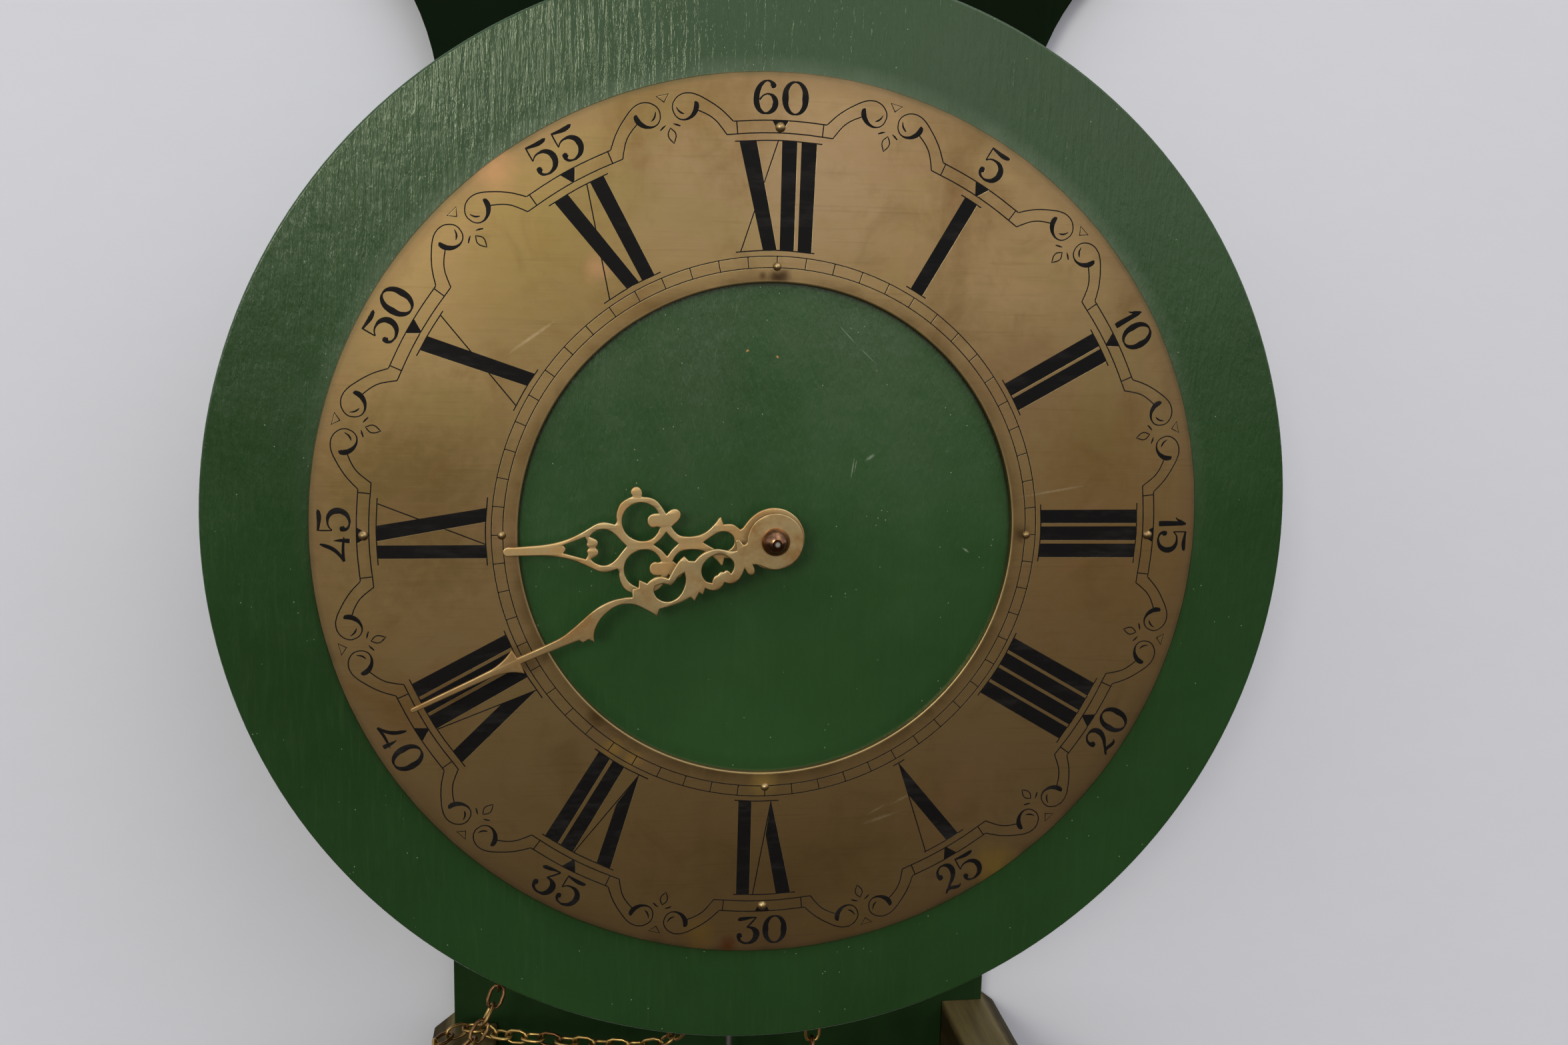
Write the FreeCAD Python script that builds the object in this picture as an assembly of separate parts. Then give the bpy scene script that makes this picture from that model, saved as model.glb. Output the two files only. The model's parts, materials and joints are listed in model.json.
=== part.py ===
"""Weight-driven wall clock: a round painted dial on a hanging board, carried by two bracket cheeks.

Frame: millimetres, +Z up, +X to the right of someone facing the clock, the front towards -Y.
The origin lies on the wall face of the board, straight behind the centre of the dial.
"""
import FreeCAD, Part
import math
import os

Vec = FreeCAD.Vector

# Dial and chapter ring
ring_face_depth = 127.0      # wall to the front face of the chapter ring
ring_outer_radius = 150.0
ring_inner_radius = 83.6
ring_thickness = 2.0
dial_radius = 184.0
dial_thickness = 14.0
dial_bore_radius = 7.0

# Hanging board
board_thickness = 14.0
shoulder_drop = 236.0        # dial centre down to the shoulders that stand on the cheeks
tongue_drop = 392.0
tongue_round_drop = 330.0
flare_start_height = 140.0
horn_half_width = 158.0
horn_height = 230.0
horn_end = 7.0
crest_height = 268.0
crest_step_half_width = 70.0
crest_step_height = 238.0
hanging_hole_height = 246.0
hanging_hole_radius = 5.0
lower_hole_drop = 372.0
lower_hole_radius = 2.5

# Bracket cheeks
cheek_inner_half_gap = 99.0
cheek_thickness = 28.0
cheek_reach = 112.0
cheek_nose = 26.0
cheek_waist_reach = 50.0
cheek_waist_drop = 76.0
cheek_height = 156.0
cheek_chamfer_width = 10.0
cheek_chamfer_depth = 8.0
wood_gap = 0.2               # joiner's clearance between boards

# Movement case behind the dial
case_half_width = 98.0
case_wall = 10.0
case_top_height = 112.0
case_bottom_drop = 150.0
case_lid = 8.0
batten_width = 13.0
batten_depth = 11.0
batten_top = 96.0
batten_bottom = -100.0
seat_thickness = 12.0
seat_rear_depth = 48.0
chain_slot = 15.0

# Movement frame
plate_thickness = 2.5
front_plate_depth = 98.5     # wall to the front face of the front plate
back_plate_depth = 49.5      # wall to the rear face of the back plate
pillar_width = 9.0
pillar_room = 2.2            # great wheel's teeth to the pillar beside them
pillar_inset = 8.0           # middle of a pillar to the side of the plate
pillar_end_inset = 11.0      # middle of a pillar to the top or bottom of the plate
great_wheel_room = 8.7       # great wheel's teeth to the foot of the plates
pallet_room = 16.0           # pallet arbor to the top of the plates
end_shake = 0.3              # play of an arbor between the plates

# Fits
pivot_clearance = 0.05       # radial, running
press_clearance = 0.02       # radial, pieces fixed on one arbor
pipe_clearance = 0.08        # radial, between nested pipes

# Wheel train: teeth and modules
great_teeth, second_leaves, great_module = 48, 6, 1.65
second_teeth, third_leaves, second_module = 54, 6, 1.2
third_teeth, escape_leaves, third_module = 63, 6, 1.0
drive_teeth, cannon_teeth, drive_module = 18, 18, 1.2
cannon_leaves, minute_teeth, minute_module = 8, 24, 1.5
minute_leaves, hour_teeth = 6, 24
escape_teeth = 30
escape_radius = 17.0
escape_tooth_depth = 3.2
great_axis_x = 4.0           # the chain hangs about this line
third_axis_x = -24.0
wheel_thickness = 1.6
great_wheel_thickness = 3.0
leaf_length = 8.0
leaf_overlap = 0.4           # leaves of the motion work past the face of the wheel that they drive
great_arbor_half = 2.6       # arbors are square between their round pivots
second_arbor_half = 1.7
third_arbor_half = 1.25
escape_arbor_half = 1.05
pallet_arbor_half = 1.3
great_pivot_radius = 1.8
second_pivot_radius = 2.0    # front pivot, which goes on to carry the motion work's drive wheel
pivot_radius = 1.0
wheel_hub_radius = 7.5
spoke_width = 4.5
rim_depth = 3.0

# Tooth heights in modules, and widths as shares of the pitch: pointed wheel teeth, blunt pinion leaves
wheel_addendum, wheel_dedendum, wheel_root_share = 1.05, 1.2, 0.72
leaf_addendum, leaf_dedendum, leaf_root_share, leaf_tip_share = 0.55, 1.5, 0.48, 0.30

# Depths of the wheels, wall to each wheel's front face
great_wheel_depth = 68.0
second_wheel_depth = 91.0
third_wheel_depth = 78.0
escape_wheel_depth = 62.0
drive_wheel_depth = 101.2
minute_wheel_depth = 104.4
hour_wheel_depth = 107.8

# Chain, sprocket and ratchet
link_length = 11.0
link_width = 7.0
link_wire = 1.5
link_corner = 2.1            # length of a link's bent end
sprocket_links = 20          # links that one turn of the sprocket takes up
sprocket_width = 12.0
sprocket_depth = 77.0        # wall to the plane of the chain
spike_height = 3.2
spike_half_width = 1.3
fall_links = 76              # links between the sprocket and the weight, run down
ratchet_teeth = 20
ratchet_radius = 16.0
ratchet_tooth_depth = 2.6
ratchet_thickness = 2.4
click_gap = 0.5
click_reach = 24.7           # great arbor to the click's pivot
click_spring_strip = 0.7
click_bearing = math.radians(58.2)
spring_bearing = math.radians(47.0)
nail_radius = 1.2
nail_reach = 13.0
nail_depth = 44.0            # wall to the nail in the side of the case
nail_drop = 142.0
link_play = 0.4              # lengthwise play of one link in the next
lead_links = 3               # links that leave the sprocket on the slack side with it

# Pallets, crutch and pendulum
pallet_gap = 1.4             # left between the nibs and the tooth tips, so the swing never jams
pallet_hole_radius = 5.0     # opening in the back plate for the pallet arbor
pallet_pivot_radius = 0.8
anchor_thickness = 3.4
anchor_hub_radius = 4.5
crutch_length = 74.0
crutch_room = 4.0            # back plate to the crutch
crutch_hub = 2.5             # metal round the arbor's square
crutch_hub_thickness = 3.0
fork_height = 6.0
fork_prong = 1.6
fork_reach = 2.0             # prongs past the pendulum rod
crutch_width = 4.0
crutch_thickness = 1.6
fork_clearance = 0.4
cock_half_width = 24.0
cock_leg = 6.0
cock_thickness = 3.0
cock_below = 7.0             # pallet arbor to the foot of the bridge
cock_above = 9.0
cock_lug_half = 4.0          # lug that the suspension spring hangs from
cock_depth = 36.0            # wall to the rear face of the cock's bridge
pendulum_depth = 31.0        # wall to the plane of the swing
pendulum_length = 395.0      # suspension down to the centre of the bob
rod_radius = 1.5
bob_radius = 42.0
bob_thickness = 16.0
spring_length = 12.0
spring_width = 6.0
spring_thickness = 0.3
spring_clamp_gap = 0.3       # lug to the end of the spring
chop_height = 7.0            # brass block at the lower end of the spring
chop_half = 2.2
rod_tail = 16.0              # rod below the bob
rating_nut_radius = 5.0
rating_nut_height = 6.0
rating_gap = 0.3

# Weight
weight_radius = 27.0
weight_height = 170.0
hook_bar = 3.0
hook_eye = 4.5               # middle of the eye to its inner flats
hook_shank = 14.0
hook_gap = 0.15

# Hands
hand_thickness = 1.2
hour_hand_ahead = 6.2        # ring face to the back of the hour hand
minute_hand_ahead = 11.0     # ring face to the back of the minute hand
hour_hand_angle = 267.2      # degrees clockwise from the top, as the hands stand
minute_hand_angle = 244.7
nut_radius = 4.65
nut_height = 4.4
stud_tip_radius = 1.2
stud_tip_reach = 0.8         # stud past the face of the nut
stud_radius = 2.0
cannon_pipe_radius = 3.5
hand_stub_radius = 2.8
hour_pipe_radius = 5.0
hour_stub_radius = 4.5
minute_stud_radius = 1.5

# Places worked out from the sizes above
ring_face_y = -ring_face_depth
dial_face_y = ring_face_y + ring_thickness
dial_back_y = dial_face_y + dial_thickness
board_face_y = -board_thickness
front_plate_y = -front_plate_depth
front_plate_back_y = front_plate_y + plate_thickness
back_plate_rear_y = -back_plate_depth
back_plate_y = back_plate_rear_y - plate_thickness
sprocket_y = -sprocket_depth
pendulum_y = -pendulum_depth
cheek_outer = cheek_inner_half_gap + cheek_thickness
board_half_width = cheek_outer - cheek_chamfer_width
tongue_half_width = cheek_inner_half_gap - wood_gap
link_pitch = link_length - 2 * link_wire - link_play
sprocket_radius = link_pitch / (2 * math.sin(math.pi / sprocket_links))


def centre_distance(teeth, leaves, module):
    return module * (teeth + leaves) / 2


def axis_beside(start, distance, x, side):
    """Point at this X that lies the distance from start, above (side 1) or below (side -1)."""
    return (x, start[1] + side * math.sqrt(distance ** 2 - (x - start[0]) ** 2))


hand_axis = (0.0, 0.0)
second_axis = (0.0, -centre_distance(drive_teeth, cannon_teeth, drive_module))
great_distance = centre_distance(great_teeth, second_leaves, great_module)
great_axis = axis_beside(second_axis, great_distance, great_axis_x, -1)
third_distance = centre_distance(second_teeth, third_leaves, second_module)
third_axis = axis_beside(second_axis, third_distance, third_axis_x, 1)
escape_distance = centre_distance(third_teeth, escape_leaves, third_module)
escape_axis = axis_beside(third_axis, escape_distance, 0.0, 1)
pallet_axis = (0.0, escape_axis[1] + escape_radius * math.sqrt(2))
minute_axis = (centre_distance(minute_teeth, cannon_leaves, minute_module), 0.0)
hour_module = 2 * minute_axis[0] / (minute_leaves + hour_teeth)
left_fall_x = great_axis[0] - sprocket_radius
right_fall_x = great_axis[0] + sprocket_radius
great_tip_radius = great_module * (great_teeth / 2 + wheel_addendum)
great_root_radius = great_module * (great_teeth / 2 - wheel_dedendum)
pillar_half_span = great_axis_x + great_tip_radius + pillar_room + pillar_width / 2
plate_half_width = pillar_half_span + pillar_inset
plate_bottom = great_axis[1] - great_tip_radius - great_wheel_room
plate_top = pallet_axis[1] + pallet_room
pillar_bottom = plate_bottom + pillar_end_inset
pillar_top = plate_top - pillar_end_inset
seat_top = plate_bottom


def box(x0, x1, y0, y1, z0, z1):
    return Part.makeBox(x1 - x0, y1 - y0, z1 - z0, Vec(x0, y0, z0))


def rod(axis, radius, y0, y1):
    """Round bar along Y through the point axis = (x, z)."""
    return Part.makeCylinder(radius, y1 - y0, Vec(axis[0], y0, axis[1]), Vec(0, 1, 0))


def post(x, y, radius, z0, z1):
    """Round bar along Z."""
    return Part.makeCylinder(radius, z1 - z0, Vec(x, y, z0), Vec(0, 0, 1))


def square_bar(axis, half, y0, y1):
    return box(axis[0] - half, axis[0] + half, y0, y1, axis[1] - half, axis[1] + half)


def tube(axis, outer, inner, y0, y1):
    return rod(axis, outer, y0, y1).cut(rod(axis, inner, y0 - 1, y1 + 1))


def run_edges(points):
    """One stretch of an outline: two points are a line, more are arcs, each through two further points."""
    if len(points) == 2:
        return [Part.LineSegment(points[0], points[1]).toShape()]
    arcs = []
    for first in range(0, len(points) - 2, 2):
        arcs.append(Part.Arc(points[first], points[first + 1], points[first + 2]).toShape())
    return arcs


def outline_face(start, runs, place):
    """Face bounded by runs of points, each run going on from the last point of the one before."""
    edges = []
    here = start
    for run in runs:
        edges.extend(run_edges([place(*here)] + [place(*point) for point in run]))
        here = run[-1]
    return Part.Face(Part.Wire(edges))


def mirrored_runs(start, half_runs):
    """Half an outline, from the mirror line and back to it, with its other half added."""
    stretches = []
    here = start
    for run in half_runs:
        stretches.append([here] + list(run))
        here = run[-1]
    other_half = []
    for stretch in reversed(stretches):
        back = list(reversed(stretch))[1:]
        other_half.append([(u, -v) for u, v in back])
    return list(half_runs) + other_half


def in_front_view(y):
    return lambda x, z: Vec(x, y, z)


def polygon_face(points, place):
    corners = [place(*point) for point in points]
    return Part.Face(Part.makePolygon(corners + [corners[0]]))


def thick(face, depth):
    return face.extrude(Vec(0, depth, 0))


def tooth_points(teeth, phase, corners):
    """Teeth round a centre, each from the same corners: a radius and a share of half the tooth's pitch."""
    half_step = math.pi / teeth
    points = []
    for tooth in range(teeth):
        middle = phase + 2 * tooth * half_step
        for radius, share in corners:
            angle = middle + share * half_step
            points.append((radius * math.cos(angle), radius * math.sin(angle)))
    return points


def toothed(axis, points, y0, y1):
    face = polygon_face(points, lambda u, v: Vec(axis[0] + u, y0, axis[1] + v))
    return thick(face, y1 - y0)


def wheel(axis, teeth, module, phase, y0, y1):
    radius = module * teeth / 2
    root = radius - wheel_dedendum * module
    tip = radius + wheel_addendum * module
    corners = [(root, -wheel_root_share), (tip, 0.0), (root, wheel_root_share)]
    return toothed(axis, tooth_points(teeth, phase, corners), y0, y1)


def pinion(axis, leaves, module, phase, y0, y1):
    radius = module * leaves / 2
    root = radius - leaf_dedendum * module
    tip = radius + leaf_addendum * module
    rising = [(root, -leaf_root_share), (tip, -leaf_tip_share)]
    falling = [(tip, leaf_tip_share), (root, leaf_root_share)]
    return toothed(axis, tooth_points(leaves, phase, rising + falling), y0, y1)


def line_angle(start, end):
    return math.atan2(end[1] - start[1], end[0] - start[0])


def space_phase(start, end, leaves):
    """Phase that turns a tooth space of the pinion at end towards the tooth of the wheel at start."""
    return line_angle(end, start) + math.pi / leaves


def crossings(axis, hub, rim, spokes, y0, y1):
    """The windows between a wheel's spokes, filed straight between the corners."""
    step = 2 * math.pi / spokes
    half = spoke_width / 2
    windows = []
    for spoke in range(spokes):
        first = spoke * step
        corners = []
        for radius, cuts in ((hub, (0, 1)), (rim, (1, 0.67, 0.33, 0))):
            near = first + math.asin(half / radius)
            far = first + step - math.asin(half / radius)
            for cut in cuts:
                angle = near + cut * (far - near)
                corners.append((axis[0] + radius * math.cos(angle), axis[1] + radius * math.sin(angle)))
        windows.append(thick(polygon_face(corners, in_front_view(y0)), y1 - y0))
    return windows


def crossed_wheel(axis, teeth, module, phase, depth, thickness, arbor_half):
    """Wheel with four spokes, squared on to its arbor."""
    y0 = -depth
    y1 = y0 + thickness
    body = wheel(axis, teeth, module, phase, y0, y1)
    rim = module * teeth / 2 - wheel_dedendum * module - rim_depth
    body = body.cut(crossings(axis, wheel_hub_radius, rim, 4, y0 - 1, y1 + 1))
    return body.cut(square_bar(axis, arbor_half + press_clearance, y0 - 1, y1 + 1))


nodes = {}


# Hanging board and bracket

def make_backboard():
    half = [
        [(38, crest_height - 9), (crest_step_half_width, crest_step_height)],
        [(114, crest_step_height - 14), (horn_half_width, horn_height)],
        [(horn_half_width, horn_height - horn_end)],
        [(board_half_width + 11, 190), (board_half_width, flare_start_height)],
        [(board_half_width, -shoulder_drop)],
        [(tongue_half_width, -shoulder_drop)],
        [(tongue_half_width, -tongue_round_drop)],
        [(70, -tongue_drop + 22), (0, -tongue_drop)],
    ]
    runs = mirrored_runs((crest_height, 0), [[(z, x) for x, z in run] for run in half])
    face = outline_face((crest_height, 0), runs, lambda z, x: Vec(x, board_face_y, z))
    board = thick(face, board_thickness)
    board = board.cut(rod((0, hanging_hole_height), hanging_hole_radius, board_face_y - 1, 1))
    return board.cut(rod((0, -lower_hole_drop), lower_hole_radius, board_face_y - 1, 1))


def make_cheek(side):
    top = -shoulder_drop
    runs = [
        [(-cheek_reach, top)],
        [(-cheek_reach - 7, top - cheek_nose / 2), (-cheek_reach + 4, top - cheek_nose)],
        [(-cheek_waist_reach - 18, top - cheek_waist_drop / 2 - 4),
         (-cheek_waist_reach, top - cheek_waist_drop)],
        [(-cheek_waist_reach + 14, top - cheek_height + 26), (-8, top - cheek_height)],
        [(0, top - cheek_height)],
        [(0, top)],
    ]
    face = outline_face((0, top), runs, lambda y, z: Vec(cheek_inner_half_gap, y, z))
    cheek = face.extrude(Vec(cheek_thickness, 0, 0))
    chamfer = Part.Face(Part.makePolygon([
        Vec(cheek_outer - cheek_chamfer_width, 1, top),
        Vec(cheek_outer, 1, top - cheek_chamfer_depth),
        Vec(cheek_outer, 1, top),
        Vec(cheek_outer - cheek_chamfer_width, 1, top),
    ])).extrude(Vec(0, -cheek_reach - cheek_nose, 0))
    cheek = cheek.cut(chamfer)
    if side < 0:
        cheek = cheek.mirror(Vec(0, 0, 0), Vec(1, 0, 0))
    return cheek


nodes["backboard"] = make_backboard()
nodes["bracket_cheek_left"] = make_cheek(-1)
nodes["bracket_cheek_right"] = make_cheek(1)


# Movement case

case_inner = case_half_width - case_wall
for side_name, side in (("left", -1), ("right", 1)):
    inner_x, outer_x = sorted((side * case_inner, side * case_half_width))
    nodes["case_side_" + side_name] = box(inner_x, outer_x, dial_back_y, board_face_y,
                                          -case_bottom_drop, case_top_height)
    near, far = sorted((side * (case_inner - wood_gap - batten_width), side * (case_inner - wood_gap)))
    nodes["dial_batten_" + side_name] = box(near, far, dial_back_y, dial_back_y + batten_depth,
                                            batten_bottom, batten_top)
nodes["case_top"] = box(-case_half_width, case_half_width, dial_back_y, board_face_y,
                        case_top_height, case_top_height + case_lid)

seat_board = box(-case_inner + wood_gap, case_inner - wood_gap, dial_back_y, -seat_rear_depth,
                 seat_top - seat_thickness, seat_top)
for fall_x in (left_fall_x, right_fall_x):
    seat_board = seat_board.cut(box(fall_x - chain_slot / 2, fall_x + chain_slot / 2,
                                    sprocket_y - chain_slot / 2, sprocket_y + chain_slot / 2,
                                    seat_top - seat_thickness - 1, seat_top + 1))
nodes["seat_board"] = seat_board


# Dial

nodes["dial_disc"] = tube(hand_axis, dial_radius, dial_bore_radius, dial_face_y, dial_back_y)
nodes["chapter_ring"] = tube(hand_axis, ring_outer_radius, ring_inner_radius, ring_face_y, dial_face_y)


# Hands: outlines in (along the hand, across it), cut from sheet

def hand_place(angle_deg, y):
    angle = math.radians(angle_deg)

    def place(along, across):
        return Vec(along * math.sin(angle) + across * math.cos(angle), y,
                   along * math.cos(angle) - across * math.sin(angle))

    return place


def disc_face(place, along, across, radius):
    return Part.Face(Part.Wire(Part.Circle(place(along, across), Vec(0, 1, 0), radius).toShape()))


def filed_disc_face(place, along, across, radius):
    """Small round filed in eight flats."""
    corner = radius / math.cos(math.pi / 8)
    angles = [(2 * k + 1) * math.pi / 8 for k in range(8)]
    corners = [(along + corner * math.cos(a), across + corner * math.sin(a)) for a in angles]
    return polygon_face(corners, place)


hour_hub_radius = 10.4
hour_body = [
    [(10.5, 3.7)],
    [(14.2, 5.2), (16.7, 5.5)],
    [(17.5, 8.0)],
    [(18.6, 6.6), (20.1, 5.2)],
    [(22.6, 3.2), (26.8, 2.2), (31.0, 3.0), (33.5, 5.4)],
    [(36.0, 5.6)],
    [(51.7, 6.9)],
    [(53.9, 7.9), (56.4, 8.1), (60.4, 6.8), (64.0, 4.8), (69.0, 2.9), (75.0, 1.9), (81.0, 1.7), (87.0, 1.45)],
    [(87.8, 0.9), (88.1, 0.0)],
]
hour_loop = (43.15, 7.8)
hour_loop_outer, hour_loop_inner = 8.25, 6.45
hour_ball, hour_ball_radius = (44.3, 17.4), 1.8
hour_outer_lobe, hour_inner_lobe, hour_lobe_radius = (32.5, 9.6), (39.3, 7.9), 2.05
hour_lobe_bar = [(32.9, 6.4), (36.2, 5.4), (39.3, 6.2), (39.3, 9.6), (35.6, 10.2), (32.9, 10.8)]
hour_drop = [[(13.7, 2.1), (15.6, 3.1), (19.6, 2.1), (23.2, 0.0)]]
hour_diamond = [[(34.0, 1.5), (35.4, 3.9)], [(37.0, 1.5), (39.5, 0.0)]]
hour_pear = [
    [(50.8, 3.0), (54.0, 5.2), (57.6, 5.6), (60.2, 3.4)],
    [(58.4, 2.4), (58.9, 0.0)],
]
hour_wedge = [
    [(60.9, 1.3), (61.9, 3.5)],
    [(69.0, 1.3)],
    [(68.4, 0.7), (68.2, 0.0)],
]


def make_hour_hand():
    place = hand_place(hour_hand_angle, ring_face_y - hour_hand_ahead - hand_thickness)
    start = (math.sqrt(hour_hub_radius ** 2 - 5.5 ** 2), 0.0)
    body = outline_face(start, mirrored_runs(start, [[(start[0], 5.5)]] + hour_body), place)
    body = body.fuse(disc_face(place, 0, 0, hour_hub_radius))
    for side in (1, -1):
        body = body.fuse(disc_face(place, hour_loop[0], side * hour_loop[1], hour_loop_outer))
        body = body.fuse(filed_disc_face(place, hour_ball[0], side * hour_ball[1], hour_ball_radius))
    for side in (1, -1):
        body = body.cut(disc_face(place, hour_loop[0], side * hour_loop[1], hour_loop_inner))
    for start, half in (((13.1, 0.0), hour_drop), ((31.6, 0.0), hour_diamond),
                        ((48.4, 0.0), hour_pear), ((61.3, 0.0), hour_wedge)):
        body = body.cut(outline_face(start, mirrored_runs(start, half), place))
    for side in (1, -1):
        for lobe in (hour_outer_lobe, hour_inner_lobe):
            body = body.fuse(filed_disc_face(place, lobe[0], side * lobe[1], hour_lobe_radius))
        body = body.fuse(polygon_face([(u, side * v) for u, v in hour_lobe_bar], place))
    body = body.cut(disc_face(place, 0, 0, hour_stub_radius + press_clearance))
    return thick(body.removeSplitter(), hand_thickness)


minute_hub_radius = 9.4
minute_outline = [
    [(9.9, -3.8)],
    [(10.4, -6.4)],
    [(11.4, -6.9), (12.4, -6.4)],
    [(12.9, -3.9)],
    [(16.8, -6.7), (20.8, -5.2)],
    [(23.8, -6.5), (27.3, -4.3)],
    [(28.9, -5.9)],
    [(29.7, -4.7)],
    [(32.3, -6.7)],
    [(32.9, -4.9)],
    [(38.0, -4.9), (43.6, -4.1)],
    [(45.4, -6.0)],
    [(47.9, -2.4), (51.0, 1.2), (55.8, 2.7), (61.0, 1.8), (64.0, 0.0), (66.4, -2.1)],
    [(67.8, -4.8)],
    [(68.8, -3.3)],
    [(70.8, -3.4)],
    [(71.6, -2.2)],
    [(80.0, -1.75)],
    [(91.7, -1.0)],
    [(92.2, -4.5)],
    [(96.6, -2.1), (104.0, -1.1)],
    [(129.6, -0.8)],
    [(130.2, 0.0), (129.6, 0.8)],
    [(104.0, 1.1)],
    [(96.8, 2.2), (92.3, 4.3)],
    [(92.0, 1.1)],
    [(80.0, 0.9)],
    [(73.0, 1.8), (66.0, 3.9), (58.6, 5.2), (50.0, 3.3)],
    [(48.9, 5.8)],
    [(46.8, 5.4)],
    [(45.6, 7.6)],
    [(43.8, 5.4)],
    [(40.2, 6.0), (36.8, 3.8)],
    [(33.2, 6.5), (29.1, 8.4)],
    [(28.4, 6.4)],
    [(26.7, 5.5)],
    [(21.4, 6.7), (16.0, 4.4)],
    [(12.9, 2.8)],
    [(11.9, 6.0)],
    [(10.5, 5.9)],
    [(10.1, 3.7)],
    [(9.4, 3.2)],
]
minute_c_opening = [
    [(17.0, 3.0), (20.8, 4.4), (25.2, 2.9), (26.4, -0.2)],
    [(26.0, -2.3), (24.6, -3.6)],
    [(23.4, -2.3), (21.7, -1.9)],
    [(20.2, -1.5), (18.8, -1.7)],
    [(17.9, -2.3), (17.6, -3.4)],
    [(16.0, -2.2), (15.4, -0.3)],
]
minute_bean_opening = [
    [(33.8, -1.6), (38.2, -3.4), (42.0, -1.9), (43.0, 1.0)],
    [(42.7, 2.4), (41.8, 3.5)],
    [(39.3, 3.3), (37.2, 1.7)],
    [(34.4, 3.0), (31.3, 3.5)],
]


def make_minute_hand():
    place = hand_place(minute_hand_angle, ring_face_y - minute_hand_ahead - hand_thickness)
    start = (7.6, -5.2)
    runs = minute_outline + [[(7.6, 5.2)], [start]]
    body = outline_face(start, runs, place)
    body = body.fuse(disc_face(place, 0, 0, minute_hub_radius))
    body = body.cut(outline_face((15.4, -0.3), minute_c_opening, place))
    body = body.cut(outline_face((31.3, 3.5), minute_bean_opening, place))
    body = body.cut(disc_face(place, 0, 0, hand_stub_radius + press_clearance))
    return thick(body.removeSplitter(), hand_thickness)


nodes["hour_hand"] = make_hour_hand()
nodes["minute_hand"] = make_minute_hand()


# Motion work behind the dial

hour_hand_back_y = ring_face_y - hour_hand_ahead
minute_hand_back_y = ring_face_y - minute_hand_ahead
minute_hand_face_y = minute_hand_back_y - hand_thickness
hand_stub_y = minute_hand_face_y
cannon_bore = stud_radius + pivot_clearance
drive_wheel_y = -drive_wheel_depth
minute_wheel_y = -minute_wheel_depth
hour_wheel_y = -hour_wheel_depth
cannon_wheel_back_y = drive_wheel_y + wheel_thickness

stud = rod(hand_axis, stud_radius, hand_stub_y, front_plate_back_y)
stud_end_y = minute_hand_face_y - nut_height - stud_tip_reach
nodes["centre_stud"] = stud.fuse(rod(hand_axis, stud_tip_radius, stud_end_y, hand_stub_y))

cannon = rod(hand_axis, cannon_pipe_radius, minute_hand_back_y, cannon_wheel_back_y)
cannon = cannon.fuse(rod(hand_axis, hand_stub_radius, hand_stub_y, minute_hand_back_y))
cannon = cannon.fuse(wheel(hand_axis, cannon_teeth, drive_module,
                           space_phase(second_axis, hand_axis, cannon_teeth),
                           drive_wheel_y, cannon_wheel_back_y))
cannon = cannon.fuse(pinion(hand_axis, cannon_leaves, minute_module,
                            space_phase(minute_axis, hand_axis, cannon_leaves),
                            minute_wheel_y - leaf_overlap, drive_wheel_y))
nodes["cannon_wheel"] = cannon.cut(rod(hand_axis, cannon_bore, hand_stub_y - 1, cannon_wheel_back_y + 1))

hour_pipe_bore = cannon_pipe_radius + pipe_clearance
hour_wheel = wheel(hand_axis, hour_teeth, hour_module, line_angle(hand_axis, minute_axis),
                   hour_wheel_y, hour_wheel_y + wheel_thickness)
hour_wheel = hour_wheel.fuse(rod(hand_axis, hour_pipe_radius, hour_hand_back_y, hour_wheel_y))
hour_hand_face_y = hour_hand_back_y - hand_thickness
hour_wheel = hour_wheel.fuse(rod(hand_axis, hour_stub_radius, hour_hand_face_y, hour_hand_back_y))
nodes["hour_wheel"] = hour_wheel.cut(rod(hand_axis, hour_pipe_bore, hour_hand_face_y - 1, front_plate_y))

minute_wheel = wheel(minute_axis, minute_teeth, minute_module, line_angle(minute_axis, hand_axis),
                     minute_wheel_y, minute_wheel_y + wheel_thickness)
minute_wheel = minute_wheel.fuse(pinion(minute_axis, minute_leaves, hour_module,
                                        space_phase(hand_axis, minute_axis, minute_leaves),
                                        hour_wheel_y - leaf_overlap, minute_wheel_y))
nodes["minute_wheel"] = minute_wheel.cut(rod(minute_axis, minute_stud_radius + pivot_clearance,
                                             hour_wheel_y - 2, front_plate_y))
minute_stud = rod(minute_axis, minute_stud_radius, hour_wheel_y - 1.4, front_plate_back_y)
shoulder_y = minute_wheel_y + wheel_thickness + end_shake
nodes["minute_stud"] = minute_stud.fuse(rod(minute_axis, 2 * minute_stud_radius, shoulder_y, front_plate_y))

nodes["hand_nut"] = tube(hand_axis, nut_radius, stud_tip_radius + pivot_clearance,
                         minute_hand_face_y - nut_height, minute_hand_face_y)


# Movement frame

front_holes = [
    (great_axis, great_pivot_radius),
    (second_axis, second_pivot_radius),
    (third_axis, pivot_radius),
    (escape_axis, pivot_radius),
    (pallet_axis, pivot_radius),
]
back_holes = [
    (great_axis, great_pivot_radius),
    (second_axis, pivot_radius),
    (third_axis, pivot_radius),
    (escape_axis, pivot_radius),
]
pillar_places = [(side * pillar_half_span, z) for side in (-1, 1) for z in (pillar_bottom, pillar_top)]


def make_plate(y0, holes):
    plate = box(-plate_half_width, plate_half_width, y0, y0 + plate_thickness, plate_bottom, plate_top)
    for axis, radius in holes:
        plate = plate.cut(rod(axis, radius + pivot_clearance, y0 - 1, y0 + plate_thickness + 1))
    return plate


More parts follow.
